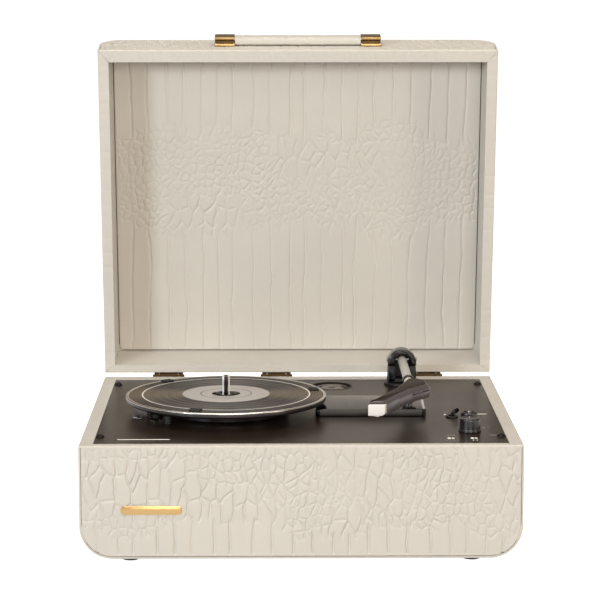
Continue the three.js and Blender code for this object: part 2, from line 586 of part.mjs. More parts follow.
// ---- hinges: base leaf with end knuckles and pin, lid leaf with the middle knuckle ----
const KNUCKLE_R = 2.6;
const LEAF_Y = HINGE_Y - KNUCKLE_R;
const LEAF_T = 1.2;
const PIN_R = 1.1;
const END_W = 5;
for (const [side, x] of Object.entries(HINGE_X)) {
  const x0 = x - HINGE_W / 2;
  const x1 = x + HINGE_W / 2;
  const ends = [[x0, x0 + END_W], [x1 - END_W, x1]];
  add(`hinge_base_${side}`, make(
    box(x0, x1, LEAF_Y, LEAF_Y + LEAF_T, -22, HINGE_Z - KNUCKLE_R - 0.8),
    [
      rodX(PIN_R, x0 - 1.4, x1 + 1.4, HINGE_Y, HINGE_Z, 10),
      ...ends.flatMap(([a, b]) => [
        rodX(KNUCKLE_R, a, b, HINGE_Y, HINGE_Z, 10),
        box(a, b, LEAF_Y, LEAF_Y + LEAF_T, -5, HINGE_Z),
      ]),
    ],
  ), BRASS());
}

// ---- lid, modelled shut, then swung open about the hinge line ----
const lidPivot = new THREE.Group();
lidPivot.position.set(0, HINGE_Y, HINGE_Z);
lidPivot.rotation.x = -LID_OPEN_DEG * RAD;
caseFrame.add(lidPivot);
const lid = new THREE.Group();
lid.position.set(0, -HINGE_Y, -HINGE_Z);
lidPivot.add(lid);

const lidInner = alongY(
  troughOutline(CASE_W / 2 - LID_SIDE_T, -LID_H + LID_TOP_T, 1, LID_INNER_R), -1, CASE_D + 1,
).rotateY(Math.PI);
add('lid_band', make(
  lidTrough(0, LID_GAP, 0, CASE_D),
  [],
  [
    lidInner,
    lidTrough(LIP, -1, -1, LID_FRONT_T + GAP),
    lidTrough(LIP, -1, CASE_D - LID_REAR_T - GAP, CASE_D + 1),
  ],
), CREAM(), lid);
add('lid_front_board', lidTrough(LIP + GAP, LID_GAP, 0, LID_FRONT_T), CREAM(), lid);
add('lid_rear_board', lidTrough(LIP + GAP, LID_GAP, CASE_D - LID_REAR_T, CASE_D), CREAM(), lid);

// the lining's back edges are chamfered to fit the lid's inside corners
const liningX = CASE_W / 2 - LID_SIDE_T - 1.7;
const liningTop = LID_H - LID_TOP_T - GAP;
const liningLow = liningTop - LINING_T;
const liningShape = new THREE.Shape([
  [-liningX, liningLow], [liningX, liningLow], [liningX - 3.4, liningTop], [-liningX + 3.4, liningTop],
].map(([x, z]) => new THREE.Vector2(x, z)));
add('lid_lining', alongY(liningShape, LID_FRONT_T + 1.2, CASE_D - LID_REAR_T - 1.2), CREAM(), lid);

for (const [side, x] of Object.entries(HINGE_X)) {
  const x0 = x - HINGE_W / 2;
  const x1 = x + HINGE_W / 2;
  const a = x0 + END_W + GAP;
  const b = x1 - END_W - GAP;
  add(`hinge_lid_${side}`, make(
    box(x0, x1, LEAF_Y, LEAF_Y + LEAF_T, HINGE_Z + KNUCKLE_R + 0.8, 22),
    [
      rodX(KNUCKLE_R, a, b, HINGE_Y, HINGE_Z, 10),
      box(a, b, LEAF_Y, LEAF_Y + LEAF_T, HINGE_Z, 5),
    ],
    [rodX(PIN_R + 0.1, a - 1, b + 1, HINGE_Y, HINGE_Z, 10)],
  ), BRASS(), lid);
}

// handle: two formed end brackets and a padded strap on the lid's front board
const BRACKET_PROFILE = [
  [-14, -GAP], [14, -GAP], [14, -2], [10.6, -2.6], [8.6, -6.4], [9.4, -HANDLE.proud + 1],
  [8, -HANDLE.proud], [-8, -HANDLE.proud], [-9.4, -HANDLE.proud + 1], [-8.6, -6.4], [-10.6, -2.6], [-14, -2],
];
for (const [side, sign] of [['left', -1], ['right', 1]]) {
  const profile = prism(BRACKET_PROFILE.map(([z, y]) => [y, z]), HANDLE.bracket)
    .rotateY(Math.PI / 2).rotateX(Math.PI / 2);
  profile.computeBoundingBox();
  const start = profile.boundingBox.min;
  const x0 = sign < 0 ? -HANDLE.half : HANDLE.half - HANDLE.bracket;
  const placed = profile.translate(x0 - start.x, -HANDLE.proud - start.y, HANDLE.z - 14 - start.z);
  add(`handle_bracket_${side}`, placed, BRASS(), lid);
}
const strapEnd = HANDLE.half - HANDLE.bracket - GAP;
const STRAP_PROFILE = [
  [-8.4, -GAP], [8.4, -GAP], [8.8, -3], [8, -6.6], [5, -8.6], [0, -9], [-5, -8.6], [-8, -6.6], [-8.8, -3],
];
const strap = prism(STRAP_PROFILE.map(([z, y]) => [y, z]), 2 * strapEnd)
  .rotateY(Math.PI / 2).rotateX(Math.PI / 2);
strap.computeBoundingBox();
strap.translate(
  -strapEnd - strap.boundingBox.min.x,
  -GAP - strap.boundingBox.max.y,
  HANDLE.z - (strap.boundingBox.max.z + strap.boundingBox.min.z) / 2,
);
add('handle_strap', strap, CREAM(), lid);

export default root;
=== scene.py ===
"""A cream suitcase record player with its lid open, on a pale studio floor.

Shapes are worked out in the case frame, in millimetres: X across from the centre, Y back from the
base's front face, Z up from the base's rim. The lid's pieces are drawn shut and swung open.
"""

import math

import bmesh
import bpy
import numpy as np
from mathutils import Matrix, Vector


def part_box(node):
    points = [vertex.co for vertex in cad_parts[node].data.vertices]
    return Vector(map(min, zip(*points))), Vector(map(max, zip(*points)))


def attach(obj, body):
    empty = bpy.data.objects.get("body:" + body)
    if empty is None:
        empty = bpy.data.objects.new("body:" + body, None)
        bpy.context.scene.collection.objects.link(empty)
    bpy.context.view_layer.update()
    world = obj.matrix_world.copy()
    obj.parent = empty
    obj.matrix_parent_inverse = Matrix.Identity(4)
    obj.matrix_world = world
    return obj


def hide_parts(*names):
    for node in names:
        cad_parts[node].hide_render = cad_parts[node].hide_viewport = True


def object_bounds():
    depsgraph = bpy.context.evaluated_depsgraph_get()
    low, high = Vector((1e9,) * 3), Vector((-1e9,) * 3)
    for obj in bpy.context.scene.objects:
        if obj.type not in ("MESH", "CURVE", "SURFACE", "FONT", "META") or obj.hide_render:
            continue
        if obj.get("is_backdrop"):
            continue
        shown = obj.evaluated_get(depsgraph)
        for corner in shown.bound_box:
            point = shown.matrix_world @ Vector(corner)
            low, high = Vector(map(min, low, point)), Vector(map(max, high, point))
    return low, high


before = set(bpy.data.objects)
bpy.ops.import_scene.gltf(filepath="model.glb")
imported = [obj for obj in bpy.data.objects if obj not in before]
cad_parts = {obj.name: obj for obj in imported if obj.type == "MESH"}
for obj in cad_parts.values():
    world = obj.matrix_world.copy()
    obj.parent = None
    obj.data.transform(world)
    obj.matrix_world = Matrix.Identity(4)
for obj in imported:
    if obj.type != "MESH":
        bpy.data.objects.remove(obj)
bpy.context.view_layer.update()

# ---------------------------------------------------------------- the frame
MM = 0.001
base_lo, base_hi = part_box("base_band")
ORIGIN = Vector((0, base_lo.y, base_hi.z))


def node_span(node):
    """A CAD node's box in the case frame, in millimetres."""
    lo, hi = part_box(node)
    return np.array((lo - ORIGIN) / MM), np.array((hi - ORIGIN) / MM)


CASE_W = (base_hi.x - base_lo.x) / MM
CASE_D = (base_hi.y - base_lo.y) / MM
BASE_H = (base_hi.z - base_lo.z) / MM
HALF = CASE_W / 2
CORNER_R = 30
LIP = 1.8
GAP = 0.3
RIM_T = 1.5
BASE_SIDE_T = 12.5
BASE_BOTTOM_T = 9
FRONT_T = 9
REAR_T = 16

LID_H = 55.5
LID_GAP = 0.5
LID_DEPTH = LID_H - LID_GAP
LID_SIDE_T = 10.7
LID_TOP_T = 4
LID_FRONT_T = 12.5
LID_REAR_T = 8.3
LID_R = 24
LID_INNER_R = 6
LID_OPEN = math.radians(81.54)
HINGE_Y = 343
HINGE_Z = 0.25
HINGE = Vector((0, HINGE_Y, HINGE_Z)) * MM
LINING_T = 2.6
DECK_TOP = -0.5

lid_turn = Matrix.Translation(HINGE) @ Matrix.Rotation(-LID_OPEN, 4, "X") @ Matrix.Translation(-HINGE)

# ---------------------------------------------------------------- mesh helpers
ZERO = (0, 0, 0)
QUARTER = math.pi / 2
HARD_ANGLE = 38
slot_of = {}


def make(name, shape, finish, body, node=None, slot=None, origin=ZERO, sharp=HARD_ANGLE):
    """One object from a shape in case-frame millimetres, riding on a body. The slot argument is looked up
    but not used. node is the CAD node it replaces, sharp the angle that stays a hard edge."""
    verts, faces = shape
    points = np.asarray(verts, float).reshape(-1, 3) - np.array(origin, float)
    mesh = bpy.data.meshes.new(name)
    mesh.from_pydata((points * MM).tolist(), [], [list(f) for f in faces])
    weld = bmesh.new()
    weld.from_mesh(mesh)
    bmesh.ops.remove_doubles(weld, verts=weld.verts, dist=2e-6)
    bmesh.ops.dissolve_degenerate(weld, edges=weld.edges, dist=1e-6)
    bmesh.ops.recalc_face_normals(weld, faces=weld.faces)
    weld.to_mesh(mesh)
    weld.free()
    soften(mesh, sharp)
    mesh.materials.append(finish)
    obj = bpy.data.objects.new(name, mesh)
    bpy.context.scene.collection.objects.link(obj)
    spot = Matrix.Translation(Vector(origin) * MM)
    obj.matrix_world = Matrix.Translation(ORIGIN) @ (lid_turn @ spot if body == "lid" else spot)
    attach(obj, body)
    if node:
        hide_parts(node)
    slot = slot or slot_of.get(finish.name)
    return obj


def soften(mesh, sharp=HARD_ANGLE):
    """Smooth shading, with edges past an angle kept hard."""
    mesh.polygons.foreach_set("use_smooth", [True] * len(mesh.polygons))
    mesh.set_sharp_from_angle(angle=math.radians(sharp))


def bake(obj):
    """Applies an object's modifiers."""
    bpy.context.view_layer.update()
    done = bpy.data.meshes.new_from_object(obj.evaluated_get(bpy.context.evaluated_depsgraph_get()))
    obj.modifiers.clear()
    obj.data = done
    soften(done)
    return obj


def bevel(obj, width, segments=3, angle=35):
    """Rounds the edges that are sharper than an angle."""
    mod = obj.modifiers.new("edge", "BEVEL")
    mod.width = width * MM
    mod.segments = segments
    mod.limit_method = "ANGLE"
    mod.angle_limit = math.radians(angle)
    mod.use_clamp_overlap = True
    return bake(obj)


def cut(obj, shape, solver="EXACT"):
    """Cuts a closed shape out of a small piece."""
    cutter = make("cutter", shape, GAP_SHADE, "case")
    mod = obj.modifiers.new("cut", "BOOLEAN")
    mod.operation, mod.solver, mod.object = "DIFFERENCE", solver, cutter
    bake(obj)
    bpy.data.objects.remove(cutter)
    return obj


def xyz(x, y, z):
    """Points from their three coordinates, each an array or one number."""
    return np.stack(np.broadcast_arrays(x, y, z), -1).astype(float)


def grid(rows, cols, closed=False):
    """Quads of a rows x cols block of vertices; closed joins the last column to the first."""
    return [
        (r * cols + c, r * cols + (c + 1) % cols, (r + 1) * cols + (c + 1) % cols, (r + 1) * cols + c)
        for r in range(rows - 1) for c in range(cols if closed else cols - 1)
    ]


def caps(rows, cols):
    """The two end faces of a closed grid."""
    return [tuple(range(cols))[::-1], tuple((rows - 1) * cols + i for i in range(cols))]


def lathe(profile, centre=(0, 0), segments=64):
    """A turned solid about Z from [radius, height] pairs; ends at radius 0 close on the axis."""
    angle = np.arange(segments) * 2 * math.pi / segments
    rings = [xyz(centre[0] + r * np.cos(angle), centre[1] + r * np.sin(angle), z) for r, z in profile]
    faces = grid(len(profile), segments, closed=True)
    if profile[0] != profile[-1]:
        faces += caps(len(profile), segments)
    return np.concatenate(rings), faces


def aimed(shape, axis, at=ZERO):
    """Turns a solid drawn about Z to lie along X or Y, or to face the front, then moves it."""
    x, y, z = shape[0].T
    order = {"X": (z, x, y), "Y": (y, z, x), "front": (x, z, y)}[axis]
    return xyz(*order) + np.array(at, float), shape[1]


def spun(shape, angle, centre):
    """Turns a shape about Z by an angle in radians, then moves it to a centre."""
    x, y, z = shape[0].T
    c, s = math.cos(angle), math.sin(angle)
    return xyz(centre[0] + x * c - y * s, centre[1] + x * s + y * c, z), shape[1]


def rounded(profile, radius, steps=3):
    """Rounds the inner corners of an open [a, b] outline; its two end points stay."""
    points = [np.array(p, float) for p in profile]
    out = [tuple(points[0])]
    for before, here, after in zip(points, points[1:], points[2:]):
        u, v = before - here, after - here
        reach = min(radius, np.linalg.norm(u) * 0.48, np.linalg.norm(v) * 0.48)
        p, q = here + u / np.linalg.norm(u) * reach, here + v / np.linalg.norm(v) * reach
        for k in range(steps + 1):
            t = k / steps
            out.append(tuple(p * (1 - t) ** 2 + here * 2 * t * (1 - t) + q * t * t))
    out.append(tuple(points[-1]))
    return out


def turned(profile, radius, centre=(0, 0), segments=64, steps=3):
    """A turned solid with rounded edges."""
    return lathe(rounded(profile, radius, steps), centre, segments)


def ring_rounded(outline, radius, steps=3):
    """Rounds the corners of a closed outline."""
    return rounded([outline[-1], *outline, outline[0]], radius, steps)[1:-1]


def prism(outline, z0, z1):
    """A solid between two heights."""
    n = len(outline)
    verts = np.array([(x, y, z) for z in (z0, z1) for x, y in outline], float)
    return verts, caps(2, n) + grid(2, n, closed=True)


def loft(rings):
    """Joins outlines of equal length, each with its own height, into a solid."""
    n = len(rings[0][0])
    verts = np.array([(x, y, z) for outline, z in rings for x, y in outline], float)
    return verts, grid(len(rings), n, closed=True) + caps(len(rings), n)


def oblong(x0, x1, y0, y1):
    return [(x0, y0), (x1, y0), (x1, y1), (x0, y1)]


def block(x0, x1, y0, y1, z0, z1):
    return prism(oblong(x0, x1, y0, y1), z0, z1)


def pill(x0, x1, y0, y1, z0, z1, radius, steps=5):
    """A block with rounded upright corners."""
    return prism(ring_rounded(oblong(x0, x1, y0, y1), radius, steps), z0, z1)


def joined(*shapes):
    """Several shapes as one."""
    starts = np.cumsum([0, *(len(v) for v, _ in shapes)])
    faces = [tuple(i + int(start) for i in face) for (_, f), start in zip(shapes, starts) for face in f]
    return np.concatenate([np.asarray(v, float) for v, _ in shapes]), faces


def levels(lo, hi, step, edge=()):
    """Even levels from lo to hi about step apart, with extra ones at the edge distances from each end."""
    inner_lo, inner_hi = lo + max(edge, default=0), hi - max(edge, default=0)
    n = max(1, round((inner_hi - inner_lo) / step))
    extra = [lo + e for e in edge] + [hi - e for e in edge]
    return sorted(set(np.round([lo, hi, *extra, *np.linspace(inner_lo, inner_hi, n + 1)], 4)))


# ---------------------------------------------------------------- leatherette relief
HASH_STEP = np.uint32(0x9E3779B9)
HASH_MIX = (np.uint32(0x85EBCA6B), np.uint32(0xC2B2AE35))
CREASE_W = 0.85
CREASE_DEPTH = 1.2
SCALE = (10.5, 25)
LINE_PITCH = 17.5


def hashed(*keys):
    """Repeatable pseudo-random values from 0 to 1 for whole-number keys."""
    shape = np.broadcast(*keys).shape
    h = np.full(shape, HASH_STEP)
    for key in keys:
        k = np.broadcast_to(np.asarray(key), shape).astype(np.int64).astype(np.uint32)
        h = h ^ (k + HASH_STEP + (h << np.uint32(6)) + (h >> np.uint32(2)))
        h = (h ^ (h >> np.uint32(16))) * HASH_MIX[0]
        h = (h ^ (h >> np.uint32(13))) * HASH_MIX[1]
        h = h ^ (h >> np.uint32(16))
    return h.astype(float) / 2 ** 32


def smooth(t):
    """An eased step from 0 to 1."""
    t = np.clip(t, 0, 1)
    return t * t * (3 - 2 * t)


def noise(u, v, seed):
    """Smooth value noise from -1 to 1."""
    iu, iv = np.floor(u), np.floor(v)
    fu, fv = smooth(u - iu), smooth(v - iv)
    low = hashed(iu, iv, seed) * (1 - fu) + hashed(iu + 1, iv, seed) * fu
    high = hashed(iu, iv + 1, seed) * (1 - fu) + hashed(iu + 1, iv + 1, seed) * fu
    return 2 * (low * (1 - fv) + high * fv) - 1


def scale_edges(u, v, width, height, seed, jitter=0.85):
    """Distance in mm to the nearest edge between irregular scales, and how level that edge runs."""
    gu, gv = u / width, v / height
    iu, iv = np.floor(gu), np.floor(gv)
    best, second = np.full((2, *u.shape), 9.0)
    best_n, second_n = np.zeros((2, 2, *u.shape))
    for a in (-1, 0, 1):
        for b in (-1, 0, 1):
            cu, cv = iu + a, iv + b
            du = gu - (cu + 0.5 + jitter * (hashed(cu, cv, seed) - 0.5))
            dv = gv - (cv + 0.5 + jitter * (hashed(cu, cv, seed + 7) - 0.5))
            d = np.hypot(du, dv) + 1e-9
            n = np.stack([du / d / width, dv / d / height])
            closer = d < best
            runner = ~closer & (d < second)
            second_n = np.where(closer, best_n, np.where(runner, n, second_n))
            second = np.where(closer, best, np.where(runner, d, second))
            best_n = np.where(closer, n, best_n)
            best = np.where(closer, d, best)
    slope = second_n - best_n
    steep = np.hypot(*slope) + 1e-9
    return (second - best) / steep, (slope[1] / steep) ** 2


def tall_lines(u, v, pitch, seed):
    """Distance in mm to the nearest of a row of wandering upright lines."""
    index = np.floor(u / pitch)
    near = np.full(u.shape, 1e3)
    for k in (index - 1, index, index + 1):
        middle = (k + 0.5 + 0.36 * (hashed(k, k * 0, seed) - 0.5)) * pitch
        wander = 2.3 * noise(k * 3.7, v / 46, seed + 1) + 0.9 * noise(k * 5.1, v / 13, seed + 2)
        near = np.minimum(near, np.abs(u - middle - wander))
    return near


def crease_shape(distance, width):
    return np.exp(-(distance / width) ** 2)


def hide(u, v, tall, seed, small=None, cell=SCALE, pitch=LINE_PITCH, width=CREASE_W):
    """Embossed hide: height in mm and crease strength, from 0 to 1, at each point.
    tall is where upright lines replace the net of scales, small where the scales are small."""
    if small is None:
        small = smooth(0.5 + 1.5 * noise(u / 38, v / 26, seed + 20))
    bent = u + 3.2 * noise(u / 26, v / 21, seed + 3) + 1.1 * noise(u / 7, v / 8, seed + 4)
    lift = v + 3.0 * noise(u / 17, v / 30, seed + 5)
    wide, level_wide = scale_edges(bent, lift, *cell, seed + 6)
    fine, level_fine = scale_edges(bent, lift, cell[0] * 0.66, cell[1] * 0.44, seed + 8)
    upright = crease_shape(tall_lines(u, v, pitch, seed + 10), width)
    net = crease_shape(wide, width) * (1 - 0.62 * level_wide) * (1 - 0.75 * small)
    tiny = crease_shape(fine, width * 0.85) * (1 - 0.35 * level_fine) * small * 0.8
    strength = 0.72 + 0.28 * noise(u / 31, v / 37, seed + 12)
    crease = np.maximum(upright * smooth(tall * 1.6), np.maximum(net, tiny) * smooth((1 - tall) * 1.6))
    crease = crease * strength
    swell = (1 - np.exp(-np.minimum(wide, 6) / 2.4)) * 0.16 * (1 - tall)
    ripple = 0.035 * noise(u / 9, v / 1.7, seed + 13) + 0.03 * noise(u / 2.2, v / 2.4, seed + 14)
    return swell + ripple - CREASE_DEPTH * crease, crease


def emboss(obj, relief):
    """Moves each vertex along its normal by its relief and keeps crease and wear for the material."""
    mesh = obj.data
    points, normals = np.empty((2, len(mesh.vertices) * 3), np.float32)
    mesh.vertices.foreach_get("co", points)
    mesh.vertex_normals.foreach_get("vector", normals)
    points = points.reshape(-1, 3).astype(float)
    normals = normals.reshape(-1, 3).astype(float)
    height, crease, worn = relief(points / MM, normals)
    points += normals * (height * MM)[:, None]
    mesh.vertices.foreach_set("co", points.astype(np.float32).ravel())
    for label, values in (("crease", crease), ("worn", worn)):
        layer = mesh.attributes.new(label, "FLOAT", "POINT")
        layer.data.foreach_set("value", np.asarray(values, np.float32))
    mesh.update()


# ---------------------------------------------------------------- materials
def rgb(hex_color):
    """An sRGB hex colour as linear values."""
    parts = [int(hex_color[i:i + 2], 16) / 255 for i in (0, 2, 4)]
    return tuple(p / 12.92 if p <= 0.04045 else ((p + 0.055) / 1.055) ** 2.4 for p in parts)


def shade(color, factor):
    return tuple(min(1, c * factor) for c in color)


class Graph:
    """A material being wired: node() makes a node with inputs set or linked, bsdf is the shader."""

    def __init__(self, name, slot=None):
        self.material = bpy.data.materials.new(name)
        slot_of[self.material.name] = slot
        self.material.use_nodes = True
        self.tree = self.material.node_tree
        self.tree.nodes.clear()
        self.bsdf = self.tree.nodes.new("ShaderNodeBsdfPrincipled")
        out = self.tree.nodes.new("ShaderNodeOutputMaterial")
        self.tree.links.new(self.bsdf.outputs["BSDF"], out.inputs["Surface"])
        self.place = self.node("ShaderNodeTexCoord").outputs["Object"]

    def put(self, socket, value):
        if isinstance(value, bpy.types.NodeSocket):
            self.tree.links.new(value, socket)
        elif socket.type == "RGBA" and len(value) == 3:
            socket.default_value = (*value, 1)
        else:
            socket.default_value = value

    def node(self, kind, inputs=None, **settings):
        made = self.tree.nodes.new(kind)
        for key, value in settings.items():
            setattr(made, key, value)
        for key, value in (inputs or {}).items():
            self.put(made.inputs[key], value)
        return made

    def shader(self, **values):
        for key, value in values.items():
            self.put(self.bsdf.inputs[key.replace("_", " ")], value)
        return self.material

    def noise(self, scale, detail=4, rough=0.55, place=None):
        return self.node("ShaderNodeTexNoise", {
            "Vector": place or self.place, "Scale": scale, "Detail": detail, "Roughness": rough,
        }).outputs["Fac"]

    def stretched(self, x, y, z):
        return self.node("ShaderNodeMapping", {"Vector": self.place, "Scale": (x, y, z)}).outputs["Vector"]

    def radius(self, unit=1.0):
        """Distance from the object's own Z axis."""
        flat = self.node("ShaderNodeVectorMath", {0: self.place, 1: (1, 1, 0)}, operation="MULTIPLY")
        length = self.node("ShaderNodeVectorMath", {0: flat.outputs[0]}, operation="LENGTH")
        length = length.outputs["Value"]
        return length if unit == 1 else self.math("MULTIPLY", length, 1 / unit)

    def tangent(self):
        return self.node("ShaderNodeTangent", direction_type="RADIAL", axis="Z").outputs["Tangent"]

    def ramp(self, value, low, high, to_low=0.0, to_high=1.0):
        return self.node("ShaderNodeMapRange", {
            "Value": value, "From Min": low, "From Max": high, "To Min": to_low, "To Max": to_high,
        }).outputs["Result"]

    def ring(self, radius, inner, outer, blur):
        """1 between two radii, 0 outside them, with a soft edge outwards of each."""
        rise, fall = self.ramp(radius, inner - blur, inner), self.ramp(radius, outer + blur, outer)
        return self.math("MULTIPLY", rise, fall)

    def math(self, operation, a, b=0.0):
        return self.node("ShaderNodeMath", {0: a, 1: b}, operation=operation).outputs[0]

    def mix(self, factor, a, b):
        made = self.node("ShaderNodeMix", data_type="RGBA")
        for key, value in (("Factor", factor), ("A", a), ("B", b)):
            self.put(made.inputs[key], value)
        return made.outputs["Result"]

    def bump(self, height, distance):
        return self.node("ShaderNodeBump", {"Height": height, "Distance": distance * MM}).outputs["Normal"]

    def attribute(self, name):
        return self.node("ShaderNodeAttribute", attribute_name=name).outputs["Fac"]


def plain(name, slot, color, rough, metal=0.0, vary=0.08, rough_vary=0.07, grain=900, grain_depth=0.03,
          patch=35, wear=0.25, **extra):
    """Moulded, painted or metal finish: uneven tone, rubbed patches, faint scratches and fine grain."""
    g = Graph(name, slot)
    color = rgb(color)
    tone = g.noise(patch, 5)
    fine = g.noise(grain, 2)
    scratch = g.noise(60, 6, 0.7, g.stretched(1, 14, 3))
    colour = g.mix(g.ramp(tone, 0.3, 0.7), shade(color, 1 - vary), shade(color, 1 + vary))
    rubbed = g.ramp(scratch, 0.62, 0.8, 0.0, wear)
    uneven = g.math("ADD", g.ramp(tone, 0.25, 0.75, rough - rough_vary, rough + rough_vary),
                    g.ramp(scratch, 0.55, 0.8, 0.0, rough_vary))
    surface = g.math("ADD", fine, g.math("MULTIPLY", scratch, 0.5))
    return g.shader(Base_Color=g.mix(rubbed, colour, shade(color, 1.35)), Metallic=metal, Roughness=uneven,
                    Normal=g.bump(surface, grain_depth), **extra)


CREAM = (0.585, 0.553, 0.506)
CREASE_BUMP = 0.7
PORE_DEPTH = 0.05


def leatherette():
    """Cream hide: faint mottling, pores, rougher creases painted paler as a painted highlight, and rims worn
    smooth.
    """
    g = Graph("leatherette", "leatherette")
    crease, worn = g.attribute("crease"), g.attribute("worn")
    broad = g.noise(9, 4)
    mottle = g.noise(60, 5, 0.6)
    pores = g.node("ShaderNodeTexVoronoi", {"Vector": g.place, "Scale": 1150}).outputs["Distance"]
    fine = g.noise(1700, 3, 0.6)
    tone = g.mix(g.ramp(broad, 0.3, 0.7), shade(CREAM, 0.965), shade(CREAM, 1.03))
    tone = g.mix(g.ramp(mottle, 0.35, 0.65, 0.0, 0.35), tone, shade(CREAM, 0.96))
    # painted highlight: creases are painted paler, standing in for the light their groove walls catch
    tone = g.mix(g.ramp(crease, 0.32, 0.7, 0.0, 0.55), tone, shade(CREAM, 1.2))
    rubbed = (CREAM[0] * 1.05, CREAM[1] * 1.03, CREAM[2] * 0.98)
    tone = g.mix(g.ramp(worn, 0.0, 1.0, 0.0, 0.3), tone, rubbed)
    rough = g.math("ADD", g.ramp(mottle, 0.3, 0.7, 0.4, 0.5), g.ramp(crease, 0.2, 1.0, 0.0, 0.16))
    rough = g.math("SUBTRACT", rough, g.ramp(worn, 0.0, 1.0, 0.0, 0.07))
    skin = g.math("MULTIPLY", g.math("ADD", g.math("MULTIPLY", pores, 0.8), fine), PORE_DEPTH / CREASE_BUMP)
    return g.shader(
        Base_Color=tone, Roughness=rough, Normal=g.bump(g.math("SUBTRACT", skin, crease), CREASE_BUMP),
        Specular_IOR_Level=0.42, Sheen_Weight=0.04, Sheen_Roughness=0.5,
    )


def chrome():
    """Polished pin with a painted reflection: colour bright where it turns away from the eye and dark down
    its middle, for the room it reflects.
    """
    g = Graph("chrome", "chrome")
    facing = g.node("ShaderNodeLayerWeight", {"Blend": 0.5}).outputs["Facing"]
    streak = g.noise(200, 3, 0.6, g.stretched(1, 1, 0.05))
    return g.shader(
        # painted reflection: base colour and metalness follow how squarely the surface faces the eye, white
        # at the edges and dark in the middle
        Base_Color=g.mix(g.ramp(facing, 0.1, 0.3), rgb("37302E"), rgb("FAFAFA")),
        Metallic=g.ramp(facing, 0.12, 0.35, 1.0, 0.2), Roughness=g.ramp(streak, 0.3, 0.7, 0.05, 0.12),
        Normal=g.bump(streak, 0.003),
    )


def turned_metal(name, color, rough, metal, rings, depth, aniso):
    """Metal or lacquer turned on a lathe: fine rings round the object's own Z axis."""
    g = Graph(name, "platter_metal")
    color = rgb(color)
    wave = g.math("SINE", g.math("MULTIPLY", g.radius(), rings))
    tone = g.noise(30, 5)
    return g.shader(
        Base_Color=g.mix(g.ramp(tone, 0.3, 0.7), shade(color, 0.9), shade(color, 1.1)),
        Metallic=metal, Roughness=g.ramp(tone, 0.3, 0.7, rough - 0.05, rough + 0.06),
        Anisotropic=aniso, Tangent=g.tangent(), Normal=g.bump(wave, depth),
    )


PLATTER = (-70.5, 154.5)
PLATTER_TOP = 17.5
RING_R = 80
RING_W = 1.1
LABEL_R = 41.7
LABEL_RING = (23.95, 24.65)
GROOVE_PITCH = 1.55
FINE_PITCH = 0.42


def grooved_mat():
    """Grooved disc: fine grooves, one white ring, and a warm highlight painted into its colour to the left
    and right, so it turns with the disc.
    """
    g = Graph("mat_grooved", "mat_black")
    radius = g.radius(MM)
    wave, fine = (g.math("SINE", g.math("MULTIPLY", radius, 2 * math.pi / pitch))
                  for pitch in (GROOVE_PITCH, FINE_PITCH))
    tone = g.noise(25, 4)
    across_x = g.node("ShaderNodeSeparateXYZ", {0: g.place}).outputs["X"]
    sideways = g.math("DIVIDE", g.math("MULTIPLY", g.math("ABSOLUTE", across_x), 1 / MM), radius)
    painted_glimmer = g.math("POWER", g.ramp(sideways, 0.84, 0.99), 1.5)
    colour = g.mix(g.ramp(tone, 0.3, 0.7), rgb("241F21"), rgb("2C2728"))
    colour = g.mix(g.ramp(wave, -1.0, 1.0, 0.0, 0.3), colour, rgb("3F3839"))
    # painted highlight: tan fans on the groove crests at the disc's left and right, standing in for the
    # grooves' glimmer
    colour = g.mix(g.math("MULTIPLY", painted_glimmer, g.ramp(wave, -0.6, 0.8, 0.1, 0.8)), colour, rgb("85765F"))
    colour = g.mix(g.ring(radius, RING_R - RING_W / 2, RING_R + RING_W / 2, 0.2), colour, rgb("E6E1DC"))
    return g.shader(
        Base_Color=colour, Roughness=g.ramp(tone, 0.3, 0.7, 0.34, 0.42), Anisotropic=0.75,
        Tangent=g.tangent(), Normal=g.bump(g.math("ADD", wave, g.math("MULTIPLY", fine, 0.35)), 0.02),
        Specular_IOR_Level=0.3,
    )


def label_material():
    """Printed paper label: grey, with one thin dark ring and faint fibres."""
    g = Graph("label_grey", "mat_black")
    fibres = g.noise(420, 5, 0.7)
    colour = g.mix(g.ramp(fibres, 0.3, 0.7), rgb("A39E9B"), rgb("AFAAA7"))
    return g.shader(
        Base_Color=g.mix(g.ring(g.radius(MM), *LABEL_RING, 0.25), colour, rgb("1D1A1A")),
        Roughness=g.ramp(fibres, 0.3, 0.7, 0.42, 0.52), Normal=g.bump(fibres, 0.02),
    )


LEATHER, CHROME, MAT, LABEL = leatherette(), chrome(), grooved_mat(), label_material()
PLATTER_PAINT = turned_metal("platter_dark", "3A3637", 0.3, 0.75, 2600, 0.004, 0.3)
PLATTER_EDGE = turned_metal("platter_edge", "C9C4C0", 0.22, 1.0, 3000, 0.003, 0.6)
# painted shade: a dark brown finish for the strips that fill the gap beside the lining, where shade falls
GAP_SHADE = plain("painted_gap_shade", None, "3C2C1E", 0.7, vary=0.12, rough_vary=0.06, wear=0.02)
DECK = plain("deck_satin", "deck_black", "281E18", 0.3, vary=0.05, rough_vary=0.03, grain=2600,
             grain_depth=0.012, patch=14, wear=0.02, Specular_IOR_Level=0.25)
BLACK = plain("black_moulded", "black_plastic", "100E0F", 0.42, vary=0.12, rough_vary=0.06, grain=1800,
              grain_depth=0.015, wear=0.04, Specular_IOR_Level=0.3)
KNOB_BLACK = plain("black_knob", "black_plastic", "1F1B1D", 0.24, rough_vary=0.03, grain=1800,
                   grain_depth=0.008, wear=0.03)
GLOSS_BLACK = plain("black_gloss", "black_plastic", "0E0C0D", 0.13, vary=0.1, rough_vary=0.04, grain=500,
                    grain_depth=0.006, wear=0.03)
GRILLE_CLOTH = plain("grille_cloth", "black_plastic", "0D0C0C", 0.9, vary=0.3, grain=1600, grain_depth=0.2)
